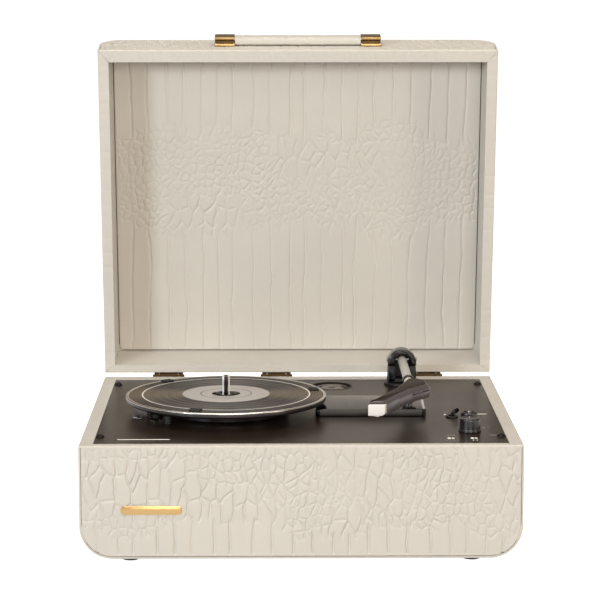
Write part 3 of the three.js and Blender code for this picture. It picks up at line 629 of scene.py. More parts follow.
RUBBER = plain("rubber", "rubber", "161514", 0.75, vary=0.14, grain=1400, grain_depth=0.06, wear=0.12)
BRASS = plain("brass", "brass", "B09264", 0.25, metal=1.0, vary=0.03, rough_vary=0.03, grain=700,
              grain_depth=0.006, patch=8, wear=0.03)
# dark brass: aged brass on the hinges, and on the handle's waist a painted shade for the dark room that brass
# reflects
BRASS_AGED_AND_SHADE = plain("brass_aged_and_painted_shade", "brass", "4A3A26", 0.4, metal=1.0, vary=0.2, rough_vary=0.12, grain=600,
                   grain_depth=0.02, wear=0.2)
STEEL = plain("zinc_steel", "steel", "9A9A9C", 0.36, metal=1.0, vary=0.1, grain=500, grain_depth=0.02)
SCREW = plain("screw_black", "steel", "151313", 0.3, metal=0.6, vary=0.2, grain_depth=0.02, wear=0.3)
ARM_GREY = plain("arm_grey", "arm_grey", "BDB9B6", 0.34, metal=0.35, vary=0.04, grain=1200,
                 grain_depth=0.01, wear=0.1)
SHELL = plain("shell_grey", "shell_grey", "575053", 0.36, metal=0.25, vary=0.06, rough_vary=0.06,
              grain=2200, grain_depth=0.015, wear=0.08)
# painted shade: the grey shell's top, painted dark brown for the dark room it reflects
SHELL_TOP_SHADE = plain("shell_top", "shell_grey", "2A211B", 0.5, grain=2200, grain_depth=0.015, wear=0.05,
                  Specular_IOR_Level=0.12)
ADAPTER_GREY = plain("adapter_grey", "shell_grey", "6A625E", 0.36, vary=0.06, grain=1500, grain_depth=0.015)
WHITE_PLASTIC = plain("white_moulded", "cream_plastic", "DAD6D4", 0.4, vary=0.02, grain=1500,
                      grain_depth=0.012, wear=0.0)
CREAM_PLASTIC = plain("cream_moulded", "cream_plastic", "D8D1C2", 0.42, vary=0.03, grain=1500,
                      grain_depth=0.015, wear=0.05)
PRINT = plain("white_print", "cream_plastic", "FBF8F2", 0.5, vary=0.05, grain=3000, grain_depth=0.005,
              wear=0.0)
FAINT_PRINT = plain("grey_print", "cream_plastic", "9A928A", 0.5, vary=0.05, grain=3000, grain_depth=0.005,
                    wear=0.0)
RED_PLASTIC = plain("red_moulded", "red_plastic", "A3221F", 0.38, grain=1300, grain_depth=0.015)
CIRCUIT = plain("circuit_green", "circuit", "2C6B43", 0.4, vary=0.2, grain=300, grain_depth=0.05)

# ---------------------------------------------------------------- leather-covered case
EDGE_LEVELS = (0.35, 0.85, 1.3)
EDGE = EDGE_LEVELS[-1]
SEAM_R = 0.8
FAR = 99
FACE_STEP = 0.8
SIDE_STEP = 1.7
LINING_STEP = 1.18
INNER_TURNS = 8
BACKWARD = np.array((0, 1.0, 0))
UP = np.array((0, 0, 1.0))


def round_pair(points, depth_a, push_a, depth_b, push_b, radius=EDGE):
    """Rounds the edge between two faces. A depth is how far a point lies below a face, a push that
    face's inward normal."""
    a = np.maximum(radius - depth_a, 0)
    b = np.maximum(radius - depth_b, 0)
    reach = np.hypot(a, b)
    near = (a > 0) & (b > 0) & (reach > radius)
    factor = np.where(near, 1 - radius / np.maximum(reach, 1e-9), 0)
    return points + (a * factor)[:, None] * push_a + (b * factor)[:, None] * push_b


def across(v, half, bottom, radius):
    """Half width of a trough outline with rounded lower corners, at height v."""
    drop = np.clip(bottom + radius - v, 0, radius)
    return half - radius + np.sqrt(np.maximum(radius ** 2 - drop ** 2, 0))


def corner_push(x, z, half, bottom, radius):
    """Which points are in a trough's rounded lower corners, their depth there, and the way inwards."""
    inside = (z < bottom + radius) & (np.abs(x) > half - radius)
    to_centre = xyz(np.sign(x) * (half - radius) - x, 0, bottom + radius - z)
    length = np.maximum(np.linalg.norm(to_centre, axis=1), 1e-6)
    return inside, radius - length, to_centre / length[:, None]


def spread(half, step):
    """Places across a piece from -1 to 1, close together at its two edges."""
    ends = 1 - np.array(EDGE_LEVELS) / half
    return np.array(sorted({*np.linspace(-1, 1, 2 * round(half / step) + 1), *ends, *-ends}))


def grid_rim(rows, cols):
    """The vertices round the outside of a grid, from the first of its last row."""
    last = rows - 1
    return [*range(last * cols, rows * cols), *(r * cols + cols - 1 for r in range(last - 1, -1, -1)),
            *range(cols - 2, -1, -1), *(r * cols for r in range(1, last))]


def wall_faces(before, here):
    """Quads between two loops of equal length."""
    n = len(before)
    return [(before[i], before[(i + 1) % n], here[(i + 1) % n], here[i]) for i in range(n)]


def board(half, bottom, radius, thick, side_t, step, back_step=None):
    """An end board standing in a band's lip: X across, Y depth behind its face, Z up to the rim at 0.
    Its top layer narrows towards the back, where it meets the band's rim in a mitre."""
    corner_rows = bottom + radius * (1 - np.cos(np.linspace(0, QUARTER, int(radius * QUARTER / step) + 2)))
    rim_rows = [-RIM_T + 0.08, *(-e for e in EDGE_LEVELS[1::-1]), 0]
    row_at = np.array([*corner_rows[:-1], *levels(bottom + radius, -RIM_T, step), *rim_rows])
    across_at = spread(half, step)
    rows, cols = len(row_at), len(across_at)

    def place(s, v, depth):
        rim = HALF - GAP * 0.7 - side_t * min(depth / (thick + GAP), 1)
        return xyz(s * np.where(v > -RIM_T + 0.01, rim, across(v, half, bottom, radius)), depth, v)

    layers = [place(np.tile(across_at, rows), np.repeat(row_at, cols), 0)]
    faces = grid(rows, cols)
    before = np.array(grid_rim(rows, cols))
    s_rim, v_rim = across_at[before % cols], row_at[before // cols]
    total = rows * cols
    for depth in levels(0, thick, back_step or step, EDGE_LEVELS)[1:]:
        layers.append(place(s_rim, v_rim, float(depth)))
        here = np.arange(total, total + len(s_rim))
        faces += wall_faces(before, here)
        before = here
        total += len(s_rim)
    faces.append(tuple(before[::-1]))
    return board_edges(np.concatenate(layers), half, bottom, radius), faces


def board_edges(points, half, bottom, radius):
    """Rounds a board's rim and, a little, the edge all round its face."""
    x, depth, v = points.T
    in_corner, corner_depth, corner_way = corner_push(x, v, half, bottom, radius)
    from_side = np.maximum(across(v, half, bottom, radius) - np.abs(x), 0)
    skin = np.maximum(np.where(in_corner, corner_depth, np.minimum(from_side, v - bottom)), 0)
    on_side = (half - np.abs(x)) < (v - bottom)
    way = np.where(on_side[:, None], xyz(-np.sign(x), 0, 0), UP)
    way = np.where(in_corner[:, None], corner_way, way)
    points = round_pair(points, depth, BACKWARD, -v, -UP)
    return round_pair(points, depth, BACKWARD, np.where(v < -RIM_T, skin, FAR), way, SEAM_R)


def zipped(a_run, b_run):
    """Triangles between two runs of vertices, in even steps along each."""
    a, b, faces = 0, 0, []
    last_a, last_b = len(a_run) - 1, len(b_run) - 1
    while a < last_a or b < last_b:
        if b == last_b or (a < last_a and (a + 1) / last_a <= (b + 1) / last_b):
            faces.append((a_run[a], a_run[a + 1], b_run[b]))
            a += 1
        else:
            faces.append((a_run[a], b_run[b + 1], b_run[b]))
            b += 1
    return faces


def band_stations(front_t, rear_t):
    """Places along a band, each with whether it lies in the lip round an end board."""
    inner_front, inner_rear = front_t + GAP, CASE_D - rear_t - GAP
    along = levels(0, CASE_D, SIDE_STEP * 1.15, EDGE_LEVELS)
    along += [front_t * k / 4 for k in (1, 2, 3)] + [CASE_D - rear_t * k / 4 for k in (1, 2, 3)]
    stations = [(y, not inner_front <= y <= inner_rear) for y in sorted(set(along))
                if min(abs(y - inner_front), abs(y - inner_rear)) > 0.2]
    stations += [(y, in_lip) for y in (inner_front, inner_rear) for in_lip in (True, False)]
    return sorted(stations, key=lambda s: (s[0], s[1] == (s[0] > CASE_D / 2)))


def band(height, radius, inner_radius, side_t, bottom_t, front_t, rear_t, floor_step, inner_steps):
    """The wrap-round trough: X across, Y along, Z up to the rim at 0, with a lip round each end board."""
    turn = np.linspace(0, QUARTER, int(radius * QUARTER / SIDE_STEP) + 2)[1:]
    outer = [(x, -height) for x in levels(0, HALF - radius, floor_step)]
    outer += [(HALF - radius + radius * math.sin(a), -height + radius - radius * math.cos(a)) for a in turn]
    side = levels(-height + radius, -RIM_T, SIDE_STEP)[1:]
    outer += [(HALF, z) for z in (*side, *(-e for e in EDGE_LEVELS[::-1]), 0)]
    rim_steps = [*EDGE_LEVELS, *levels(EDGE, side_t - EDGE, 2.0)[1:], side_t - 0.5, side_t]
    inner_turn = np.linspace(0, QUARTER, INNER_TURNS + 1)[1:]

    def half_profile(rim_w, side_inset, floor_inset, corner):
        wall, low = HALF - side_inset, -height + floor_inset
        points = outer + [(HALF - min(d, rim_w), 0) for d in rim_steps] + [(HALF - rim_w, -RIM_T)]
        points += [(wall, z) for z in np.linspace(-RIM_T, low + corner, inner_steps)]
        points += [(wall - corner + corner * math.cos(a), low + corner - corner * math.sin(a))
                   for a in inner_turn]
        return points + [(x, low) for x in np.linspace(wall - corner, 0, 5)[1:]]

    lip_shape, inner_shape = (LIP, LIP, radius - LIP), (side_t, bottom_t, inner_radius)
    rings = []
    for y, in_lip in band_stations(front_t, rear_t):
        rim_w = side_t * min(y / (front_t + GAP), (CASE_D - y) / (rear_t + GAP), 1)
        ring = half_profile(rim_w, *(lip_shape if in_lip else inner_shape))
        half_count = len(ring)
        ring += [(-x, z) for x, z in ring[::-1]][1:-1]
        rings.append(np.array([(x, y, z) for x, z in ring]))
    size = len(rings[0])
    faces = grid(len(rings), size, closed=True)
    rim_count = sum(1 for x, z in outer if z > -RIM_T + 1e-6)
    outer_run = range(len(outer) - rim_count)
    inner_run = range(half_count - 1, len(outer) + len(rim_steps), -1)
    for start in (0, (len(rings) - 1) * size):
        for sign in (1, -1):
            faces += zipped(*([start + sign * i % size for i in run] for run in (outer_run, inner_run)))
    return band_edges(np.concatenate(rings), height, radius, side_t), faces


def band_edges(points, height, radius, side_t):
    """Rounds a band's rim and, a little, its two ends."""
    x, y, z = points.T
    in_corner, corner_depth, corner_way = corner_push(x, z, HALF, -height, radius)
    low = z < -height + radius
    wall_way = xyz(-np.sign(x), 0, 0)
    wall_depth = HALF - np.abs(x)
    outside = (wall_depth < side_t - 0.6) & (z > -height + radius)
    skin = np.where(in_corner, corner_depth, np.where(low, z + height, wall_depth))
    way = np.where(in_corner[:, None], corner_way, np.where(low[:, None], UP, wall_way))
    points = round_pair(points, np.where(outside, wall_depth, FAR), wall_way, -z, -UP)
    return round_pair(points, np.where(skin < LIP - 0.3, skin, FAR), way, np.minimum(y, CASE_D - y),
                      xyz(0, np.sign(CASE_D / 2 - y), 0), SEAM_R)


def path_down(x, z, height, radius):
    """Distance along the trough's outline from its rim to each point."""
    off_side = np.abs(x) - (HALF - radius)
    corner = np.arctan2(off_side, np.maximum(-height + radius - z, 1e-6))
    side_length = height - radius
    turned_length = side_length + radius * np.clip(QUARTER - corner, 0, QUARTER)
    flat_length = side_length + radius * QUARTER - off_side
    on_turn = (z < -height + radius) & (off_side > 0)
    return np.where(on_turn, turned_length, np.where(off_side > 0, -z, flat_length))


def board_relief(seed, bottom, tall_below, thick, from_back=False, depth_scale=1.0, flat=None):
    """Relief for an end board: creases on its face and faintly on its rim, flat where it meets the band."""
    def relief(points, normals):
        x, y, z = points.T
        depth = CASE_D - y if from_back else y
        tall = smooth((tall_below - z) / 16 + 0.5 + 0.7 * noise(x / 23, z * 0, seed + 30))
        height, crease = hide(x, z + np.clip(depth, 0, thick), tall, seed)
        side = HALF - LIP - np.abs(x)
        face = smooth((3.0 - depth) / 2.0) * smooth(np.minimum(side, z - bottom) / 4)
        face = face * (0.25 + 0.75 * smooth((-z - 2) / 5))
        mask = np.maximum(face, np.where(z > -1.2, 0.28, 0.0) * smooth(side / 6))
        if flat is not None:
            mask = mask * flat(x, z)
        worn = smooth((z + 3.0) / 3.0) * smooth((3 - depth) / 3)
        return height * mask * depth_scale, crease * mask, worn
    return relief


def band_relief(seed, height, radius, grille=None):
    """Relief for a band: creases on its outside, flat on its lip, inside and rim."""
    def relief(points, normals):
        x, y, z = points.T
        down = path_down(x, z, height, radius)
        off_side = np.abs(x) - (HALF - radius)
        u = y + np.where(x > 0, 900.0, 0.0) * (off_side > 0)
        tall = smooth(0.5 + 1.2 * noise(y / 60, down / 70, seed + 31))
        moved, crease = hide(u, down, tall, seed)
        low = z < -height + radius
        sideways, upwards = normals[:, 0], normals[:, 2]
        outward = np.where(low, np.maximum(-upwards, np.abs(sideways)), np.sign(x) * sideways)
        from_centre = np.hypot(off_side, z + height - radius)
        skin = (HALF - np.abs(x) < 2) | (z < -height + 2)
        skin = np.where(low & (off_side > 0), from_centre > radius - 2, skin)
        ends = smooth(np.minimum(y, CASE_D - y) / 5)
        mask = np.maximum(skin * ends * smooth((-z - 1) / 6) * smooth(outward * 3), (z > -0.4) * 0.22)
        worn = smooth((z + 2.4) / 2.4) * (np.abs(x) > HALF - 3)
        moved = moved * mask
        if grille is not None:
            away = np.hypot(y - grille[0], z - grille[1]) - GRILLE_CUT_R
            recess = moved * smooth((away - 2) / 4) - GRILLE_CUT * (away < 0)
            moved = np.where((np.abs(x) > HALF - 3) & (outward > 0.5), recess, moved)
            crease = crease * smooth(away / 4)
        return moved, crease * mask, worn
    return relief


def flipped(points):
    """A trough turned over to make the lid's pieces, drawn shut above the base, or the other way."""
    return xyz(-points[:, 0], points[:, 1], LID_GAP - points[:, 2])


def to_lid(shape):
    return flipped(shape[0]), shape[1]


def to_back(shape):
    """A board turned round to stand at the back."""
    x, y, z = shape[0].T
    return xyz(-x, CASE_D - y, z), shape[1]


def lid_relief(inner):
    """Reads points drawn in the lid's place as the trough they came from."""
    return lambda points, normals: inner(flipped(points), normals * (-1, 1, -1))


def leather(name, shape, body, node, relief):
    piece = make(name, shape, LEATHER, body, node)
    emboss(piece, relief)
    return piece


def middle(node):
    """The middle of a CAD node."""
    lo, hi = node_span(node)
    return (lo + hi) / 2


GRILLE = middle("grille_left")[1:]
GRILLE_CUT_R, GRILLE_CUT = 25.6, 3.4
BASE_BOARD = dict(half=HALF - LIP - GAP, bottom=-BASE_H + LIP + GAP, radius=CORNER_R - LIP - GAP,
                  side_t=BASE_SIDE_T)
LID_BOARD = dict(half=HALF - LIP - GAP, bottom=-LID_DEPTH + LIP + GAP, radius=LID_R - LIP - GAP,
                 side_t=LID_SIDE_T)
BASE_LOW, LID_LOW = BASE_BOARD["bottom"], LID_BOARD["bottom"]

plate_lo, plate_hi = node_span("jack_plate")
PLATE_X = (plate_hi[0] - plate_lo[0]) / 2 + GAP
PLATE_Z = (plate_hi[2] + plate_lo[2]) / 2
PLATE_HALF_Z = (plate_hi[2] - plate_lo[2]) / 2 + GAP
PLATE_SINK = 2.6


def off_plate(x, z):
    """0 on the connector plate, 1 well away from it."""
    return smooth(np.maximum(np.abs(x) - PLATE_X, np.abs(z - PLATE_Z) - PLATE_HALF_Z) / 3)


def sunk_for_plate(shape):
    """Lowers the rear board's face behind the connector plate."""
    x, y, z = shape[0].T
    under = (y > CASE_D - 0.5) & (np.abs(x) < PLATE_X) & (np.abs(z - PLATE_Z) < PLATE_HALF_Z)
    return xyz(x, y - PLATE_SINK * under, z), shape[1]


leather("front_board_leather", board(**BASE_BOARD, thick=FRONT_T, step=FACE_STEP, back_step=1.4), "case",
        "front_board", board_relief(11, BASE_LOW, -76, FRONT_T))
leather("rear_board_leather", sunk_for_plate(to_back(board(**BASE_BOARD, thick=REAR_T, step=1.6))), "case",
        "rear_board", board_relief(53, BASE_LOW, -70, REAR_T, from_back=True, flat=off_plate))
leather("base_band_leather",
        band(BASE_H, CORNER_R, CORNER_R - BASE_SIDE_T, BASE_SIDE_T, BASE_BOTTOM_T, FRONT_T, REAR_T, 4.0, 5),
        "case", "base_band", band_relief(71, BASE_H, CORNER_R, GRILLE))
lid_trough = band(LID_DEPTH, LID_R, LID_INNER_R, LID_SIDE_T, LID_TOP_T, LID_FRONT_T, LID_REAR_T, 2.2, 12)
leather("lid_band_leather", to_lid(lid_trough), "lid", "lid_band",
        lid_relief(band_relief(97, LID_DEPTH, LID_R)))
leather("lid_front_leather", to_lid(board(**LID_BOARD, thick=LID_FRONT_T, step=1.5)), "lid",
        "lid_front_board", lid_relief(board_relief(131, LID_LOW, -60, LID_FRONT_T, depth_scale=0.8)))
leather("lid_rear_leather", to_lid(to_back(board(**LID_BOARD, thick=LID_REAR_T, step=1.6))), "lid",
        "lid_rear_board", lid_relief(board_relief(151, LID_LOW, -60, LID_REAR_T, True, 0.8)))

# ---------------------------------------------------------------- the lining and the painted shade in the gap beside it
LINING_X = HALF - LID_SIDE_T - 1.7
LINING_FACE = LID_H - LID_TOP_T - GAP - LINING_T
LINING_BACK = LINING_FACE + LINING_T - 0.3
LINING_TOP_Y = LID_FRONT_T + 1.2
LINING_LOW_Y = CASE_D - LID_REAR_T - 1.2
LINING_H = LINING_LOW_Y - LINING_TOP_Y
LINING_CORNER = 5
LINING_ROLL = 1.1
TALL_LOW, TALL_HIGH = 0.43, 0.735
GAP_SHADE_W = 1.6


def lining_sheet():
    """A flat sheet with a rolled edge and softly rounded corners at the hinge end."""
    rows = np.array(sorted({*levels(0, LINING_H, LINING_STEP, EDGE_LEVELS), 0.1, 0.6, 2.4}))
    at = spread(LINING_X, LINING_STEP)
    s, v = np.tile(at, len(rows)), np.repeat(rows, len(at))
    drop = np.clip(LINING_CORNER - v, 0, LINING_CORNER)
    width = LINING_X - LINING_CORNER + np.sqrt(LINING_CORNER ** 2 - drop ** 2)
    edge = np.minimum(np.minimum(width - np.abs(s * width), v), LINING_H - v)
    arc = np.sqrt(np.maximum(LINING_ROLL ** 2 - (LINING_ROLL - edge) ** 2, 0))
    dip = np.where(edge < LINING_ROLL, LINING_ROLL - arc, 0)
    top = xyz(s * width, LINING_LOW_Y - v, LINING_FACE + dip)
    rim = grid_rim(len(rows), len(at))
    under = top[rim]
    under[:, 2] = LINING_BACK
    below = range(len(top), len(top) + len(rim))
    faces = grid(len(rows), len(at)) + wall_faces(rim, below) + [tuple(below)[::-1]]
    return np.concatenate([top, under]), faces


def lining_relief(points, normals):
    """Tall lines at the top and bottom of the lining, with small scales between them."""
    x, y, z = points.T
    v = LINING_LOW_Y - y
    share = v / LINING_H
    wander = 0.03 * noise(x / 15, x * 0, 205) + 0.02 * noise(x / 41, x * 0, 206)
    tall = np.maximum(smooth((TALL_LOW - share + wander) / 0.1 + 0.5),
                      smooth((share - TALL_HIGH + wander) / 0.07 + 0.5))
    small = smooth(0.62 + 1.1 * noise(x / 55, v / 30, 207))
    height, crease = hide(x, v, tall, 211, small=small, cell=(11, 19), pitch=18.2, width=0.92)
    edge = np.minimum(np.minimum(LINING_X - np.abs(x), v), LINING_H - v)
    mask = smooth(edge / 3) * (z < LINING_FACE + 1.0)
    return height * mask * 0.85, crease * mask, smooth(1 - edge / 3) * 0.6


leather("lid_lining_leather", lining_sheet(), "lid", "lid_lining", lining_relief)
# painted shade: dark strips in the gaps between the lining and the lid's side walls
gap_shade_strips = [
    block(x0, x0 + GAP_SHADE_W - 0.15, LINING_TOP_Y, LINING_LOW_Y - 6, LINING_FACE + 0.3, LINING_BACK)
    for x0 in (LINING_X + 0.05, -LINING_X - GAP_SHADE_W + 0.1)
]
make("lid_lining_gap_shade", joined(*gap_shade_strips), GAP_SHADE, "lid")

# ---------------------------------------------------------------- feet and plaque
for node in ("foot_front_left", "foot_front_right", "foot_rear_left", "foot_rear_right"):
    low, high = node_span(node)[0][2], node_span(node)[1][2]
    outline = [(0, low + 0.8), (3.4, low + 0.8), (4.2, low), (7.6, low), (8.6, low + 1.4), (9, high - 0.8),
               (9, high), (0, high)]
    make(f"{node}_rubber", turned(outline, 0.5, middle(node)[:2], 48), RUBBER, "case", node)


def plaque_layer(inset, radius, back, face):
    """A plate with rounded corners, inset from the plaque's edge."""
    lo, hi = node_span("front_plaque")
    plate = pill(lo[0] + inset, hi[0] - inset, lo[2] + inset, hi[2] - inset, back, face, radius, 8)
    return aimed(plate, "front")


plaque = joined(plaque_layer(0, 4.8, -0.75, 0.2), plaque_layer(1.2, 3.8, -1.05, -0.6))
bevel(make("plaque_plain", plaque, BRASS, "case", "front_plaque"), 0.18, 2)

# ---------------------------------------------------------------- connector plate
PANEL_Y = CASE_D - 0.4
PHONO_X, ROUND_X, INLET_X = (-40, -27), (-9, 6), 35
PHONO_R, ROUND_R, INLET_R = 4.2, 3.4, 4.6


def on_panel(shape, x, dz=0):
    return aimed(shape, "Y", (x, PANEL_Y, PLATE_Z + dz))


def socket(x, r):
    return on_panel(turned([(r * 0.55, -3), (r * 0.55, 1.4), (r, 1.4), (r, 0)], 0.3, segments=40), x)


def hole_rim(x, r):
    outline = [(r + 0.4, -0.5), (r + 1.5, -0.5), (r + 1.5, 0.35), (r + 0.4, 0.35), (r + 0.4, -0.5)]
    return on_panel(lathe(outline, segments=48), x)


def connectors():
    """The plate in the back with its sockets, rims and screws."""
    holes = [*((x, PHONO_R) for x in PHONO_X), *((x, ROUND_R) for x in ROUND_X), (INLET_X, INLET_R)]
    plate = pill(plate_lo[0], plate_hi[0], PLATE_Z - 20, PLATE_Z + 20, 0, 1.8, 3)
    plate = aimed(plate, "front", (0, PANEL_Y - 1.8, 0))
    panel = joined(plate, *(hole_rim(x, r) for x, r in holes))
    bevel(make("connector_plate", panel, BLACK, "case", "jack_plate"), 0.25, 2)
    make("connector_sockets", joined(*(socket(x, ROUND_R) for x in ROUND_X)), BLACK, "case")
    screw = turned([(0, -0.3), (2.6, -0.3), (2.4, 0.6), (0, 1.1)], 0.5, segments=32)
    screws = [on_panel(screw, x, z) for x in (-47, 47) for z in (-15, 15)]
    make("connector_screws", joined(*screws), STEEL, "case")
    contact = on_panel(lathe([(0, -6), (0.7, -6), (0.7, 0.6), (0, 1.2)], segments=20), INLET_X)
    make("power_socket", joined(socket(INLET_X, INLET_R), contact), BLACK, "case", "power_inlet")
    barrel = [(2.0, -1), (3.9, -1), (3.9, 1.6), (3.3, 1.9), (3.3, 5.6), (2.9, 6), (2.0, 6), (2.0, -1)]
    core = [(0, -0.8), (1.9, -0.8), (1.9, 2), (1.1, 2), (1.1, 0), (0, 0)]
    for side, x, finish in zip(("left", "right"), PHONO_X, (WHITE_PLASTIC, RED_PLASTIC)):
        node = f"rca_jack_{side}"
        make(f"{node}_ring", on_panel(turned(barrel, 0.25, segments=40), x), finish, "case", node)
        make(f"{node}_contact", on_panel(lathe(core, segments=24), x), BRASS, "case")


connectors()

# ---------------------------------------------------------------- side grilles
SLAT_PITCH, SLAT_HALF, SLAT_REACH = 6, 1.5, 25.2


def grille(side, sign):
    """A ring with slats over dark cloth, on one side of the base."""
    def on_side(shape, inner):
        x, y, z = shape[0].T
        return xyz(sign * (inner + z), GRILLE[0] + x, GRILLE[1] + y), shape[1]

    ring = turned([(24.4, 0), (28, 0), (28, 1), (26.6, 2), (24.4, 2), (24.4, 0)], 0.5, segments=96)
    slats = [block(-1.3, 1.3, -25, 25, 0, 1.4)]
    for row in range(8):
        z = (row - 3.5) * SLAT_PITCH
        reach = math.sqrt(SLAT_REACH ** 2 - z * z)
        slats.append(block(-reach, reach, z - SLAT_HALF, z + SLAT_HALF, 0.1, 1.6))
    front = on_side(joined(ring, *slats), HALF + 0.05)
    bevel(make(f"grille_{side}_ring", front, BLACK, "case", f"grille_{side}"), 0.3, 2)
    cloth = on_side(lathe([(0, 0), (25.3, 0), (25.3, 0.5), (0, 0.5)]), HALF - 2.6)
    make(f"grille_{side}_cloth", cloth, GRILLE_CLOTH, "case")


grille("left", -1)
grille("right", 1)

# ---------------------------------------------------------------- deck: printed marks and screws
PRINT_Z = (DECK_TOP, DECK_TOP + 0.06)


def mark(x0, x1, y, width):
    return pill(x0, x1, y - width / 2, y + width / 2, *PRINT_Z, width * 0.45, 3)


def icon(x, y, wide, deep):
    return pill(x - wide / 2, x + wide / 2, y - deep / 2, y + deep / 2, *PRINT_Z, min(wide, deep) * 0.4, 3)


bright = [icon(134.8, 33, 2.8, 6), icon(138.4, 33, 2.6, 4.5), icon(156, 33, 3.0, 6.5),
          icon(159.4, 33, 2.4, 5), icon(138.6, 141, 1.8, 4), icon(156.4, 24.5, 1.2, 3),
          icon(159.6, 24.5, 1.2, 3), mark(166, 179, 143, 2.2), mark(-167, -119, 30, 2.4)]
faint = [icon(170, 79, 3.4, 3), icon(174.6, 79, 1.2, 2), mark(172, 179.5, 46, 1.6)]
faint += [icon(x, 46, 2.0, 3) for x in (134.8, 137.6, 140.4)]
faint += [icon(x, 24.5, 1.2, 2.6) for x in (132, 135.4, 138.8, 142.2)]
make("deck_print_bright", joined(*bright), PRINT, "case")
make("deck_print_faint", joined(*faint), FAINT_PRINT, "case")


def deck_screw(node, degrees):
    """A domed screw with a cross cut at its own angle."""
    z = DECK_TOP
    at = middle(node)[:2]
    dome = [(0, z + 2.75), (1.4, z + 2.65), (2.8, z + 2.0), (3.7, z + 0.9), (3.9, z + 0.1), (3.6, z - 0.05),
            (0, z - 0.05)]
    head = make(f"{node}_head", turned(dome, 0.6, at, 48), SCREW, "case", node)
    for turn in (0, QUARTER):
        cut(head, spun(block(-2.3, 2.3, -0.42, 0.42, z + 1.35, z + 4), math.radians(degrees) + turn, at))


for place, degrees in (("front_left", 20), ("front_right", 52), ("rear_left", 75), ("rear_right", 8)):
    deck_screw(f"deck_screw_{place}", degrees)

# ---------------------------------------------------------------- platter, mat, hub and spindle
TOP = PLATTER_TOP
HUB = (*PLATTER, 0)
HUB_TOP = TOP - 0.9
WEB = TOP - 2.1
RIM_LOW = TOP - 5.5
PLATTER_R = 96
RIM_INNER = 92.7
MAT_BORE = 13.4


def on_hub(profile, radius=0, segments=160, steps=3):
    outline = rounded(profile, radius, steps) if radius else profile
    return lathe(outline, PLATTER, segments)


def groove(r, half, depth, lean=0.0):
    """Three points of the mat's outline that dip into it at a radius."""
    return [(r + half + lean, TOP), (r + lean, TOP - depth), (r - half + lean, TOP)]


make("platter_body", on_hub([
    (13.2, WEB), (13.2, RIM_LOW + 0.6), (56, RIM_LOW + 0.6), (56, 1.6), (60, 1.6), (60, RIM_LOW),
    (94.6, RIM_LOW), (PLATTER_R, RIM_LOW + 1.1), (PLATTER_R, TOP - 1.4), (RIM_INNER, TOP - 1.4),
    (RIM_INNER, WEB), (13.2, WEB),
], 0.5), PLATTER_PAINT, "turntable", "platter", origin=HUB)
make("platter_rim_edge", on_hub([
    (RIM_INNER, TOP - 1.5), (PLATTER_R, TOP - 1.5), (PLATTER_R, TOP - 0.7), (95.2, TOP), (93.4, TOP),
    (RIM_INNER, TOP - 0.5), (RIM_INNER, TOP - 1.5),
], 0.3), PLATTER_EDGE, "turntable", origin=HUB)

mat = [(MAT_BORE, TOP - 1.8), (92.2, TOP - 1.8), (92.2, TOP - 0.3), (91.8, TOP)]
for r in (88.6, 85.6, 82.4):
    mat += groove(r, 0.4, 0.25, 0.1)
mat += [(RING_R + 0.9, TOP), (RING_R + 0.6, TOP + 0.12), (RING_R - 0.6, TOP + 0.12), (RING_R - 0.9, TOP)]
for r in (72, 64, 56, 48):
    mat += groove(r, 0.4, 0.18)
mat += [(LABEL_R + 0.2, TOP), (MAT_BORE, TOP), (MAT_BORE, TOP - 1.8)]
make("mat_disc", on_hub(mat, segments=192), MAT, "turntable", "platter_mat", origin=HUB)
make("label_disc", on_hub([
    (13.6, TOP - 0.05), (LABEL_R, TOP - 0.05), (LABEL_R, TOP + 0.5), (13.6, TOP + 0.5), (13.6, TOP - 0.05),
], 0.12, steps=2), LABEL, "turntable", origin=HUB)
for index, degrees in enumerate((252, 12.5, 133)):
    pad = spun(pill(82.3, 90.7, -5.5, 5.5, TOP - 0.2, TOP + 1.8, 1.3), math.radians(degrees), PLATTER)
    bevel(make(f"mat_pad_{index + 1}", pad, RUBBER, "turntable"), 0.45)

make("hub_sleeve", on_hub([
    (3.9, 5), (6, 5), (6, WEB - 1), (12.8, WEB - 0.6), (12.8, HUB_TOP - 0.5), (12.2, HUB_TOP),
    (8.6, HUB_TOP), (8.2, HUB_TOP - 0.6), (6.4, HUB_TOP - 0.6), (6.0, HUB_TOP + 0.5), (3.9, HUB_TOP + 0.5),
    (3.9, 5),
], 0.2, 96, 2), BLACK, "turntable", "bearing_sleeve", origin=HUB)
hub_clip = pill(6.2, 11.8, -1.9, 1.9, HUB_TOP - 0.3, HUB_TOP + 0.9, 0.7)
hub_clips = [spun(hub_clip, math.radians(degrees), PLATTER) for degrees in (30, 150, 270)]
bevel(make("hub_clips", joined(*hub_clips), GLOSS_BLACK, "turntable"), 0.25, 2)
spindle = on_hub([(0, -29), (3.6, -29), (3.6, 34.6), (3.1, 36.4), (1.9, 37.3), (0, 37.5)], 0.7, 64)
make("spindle_chrome", spindle, CHROME, "case", "spindle", origin=HUB)

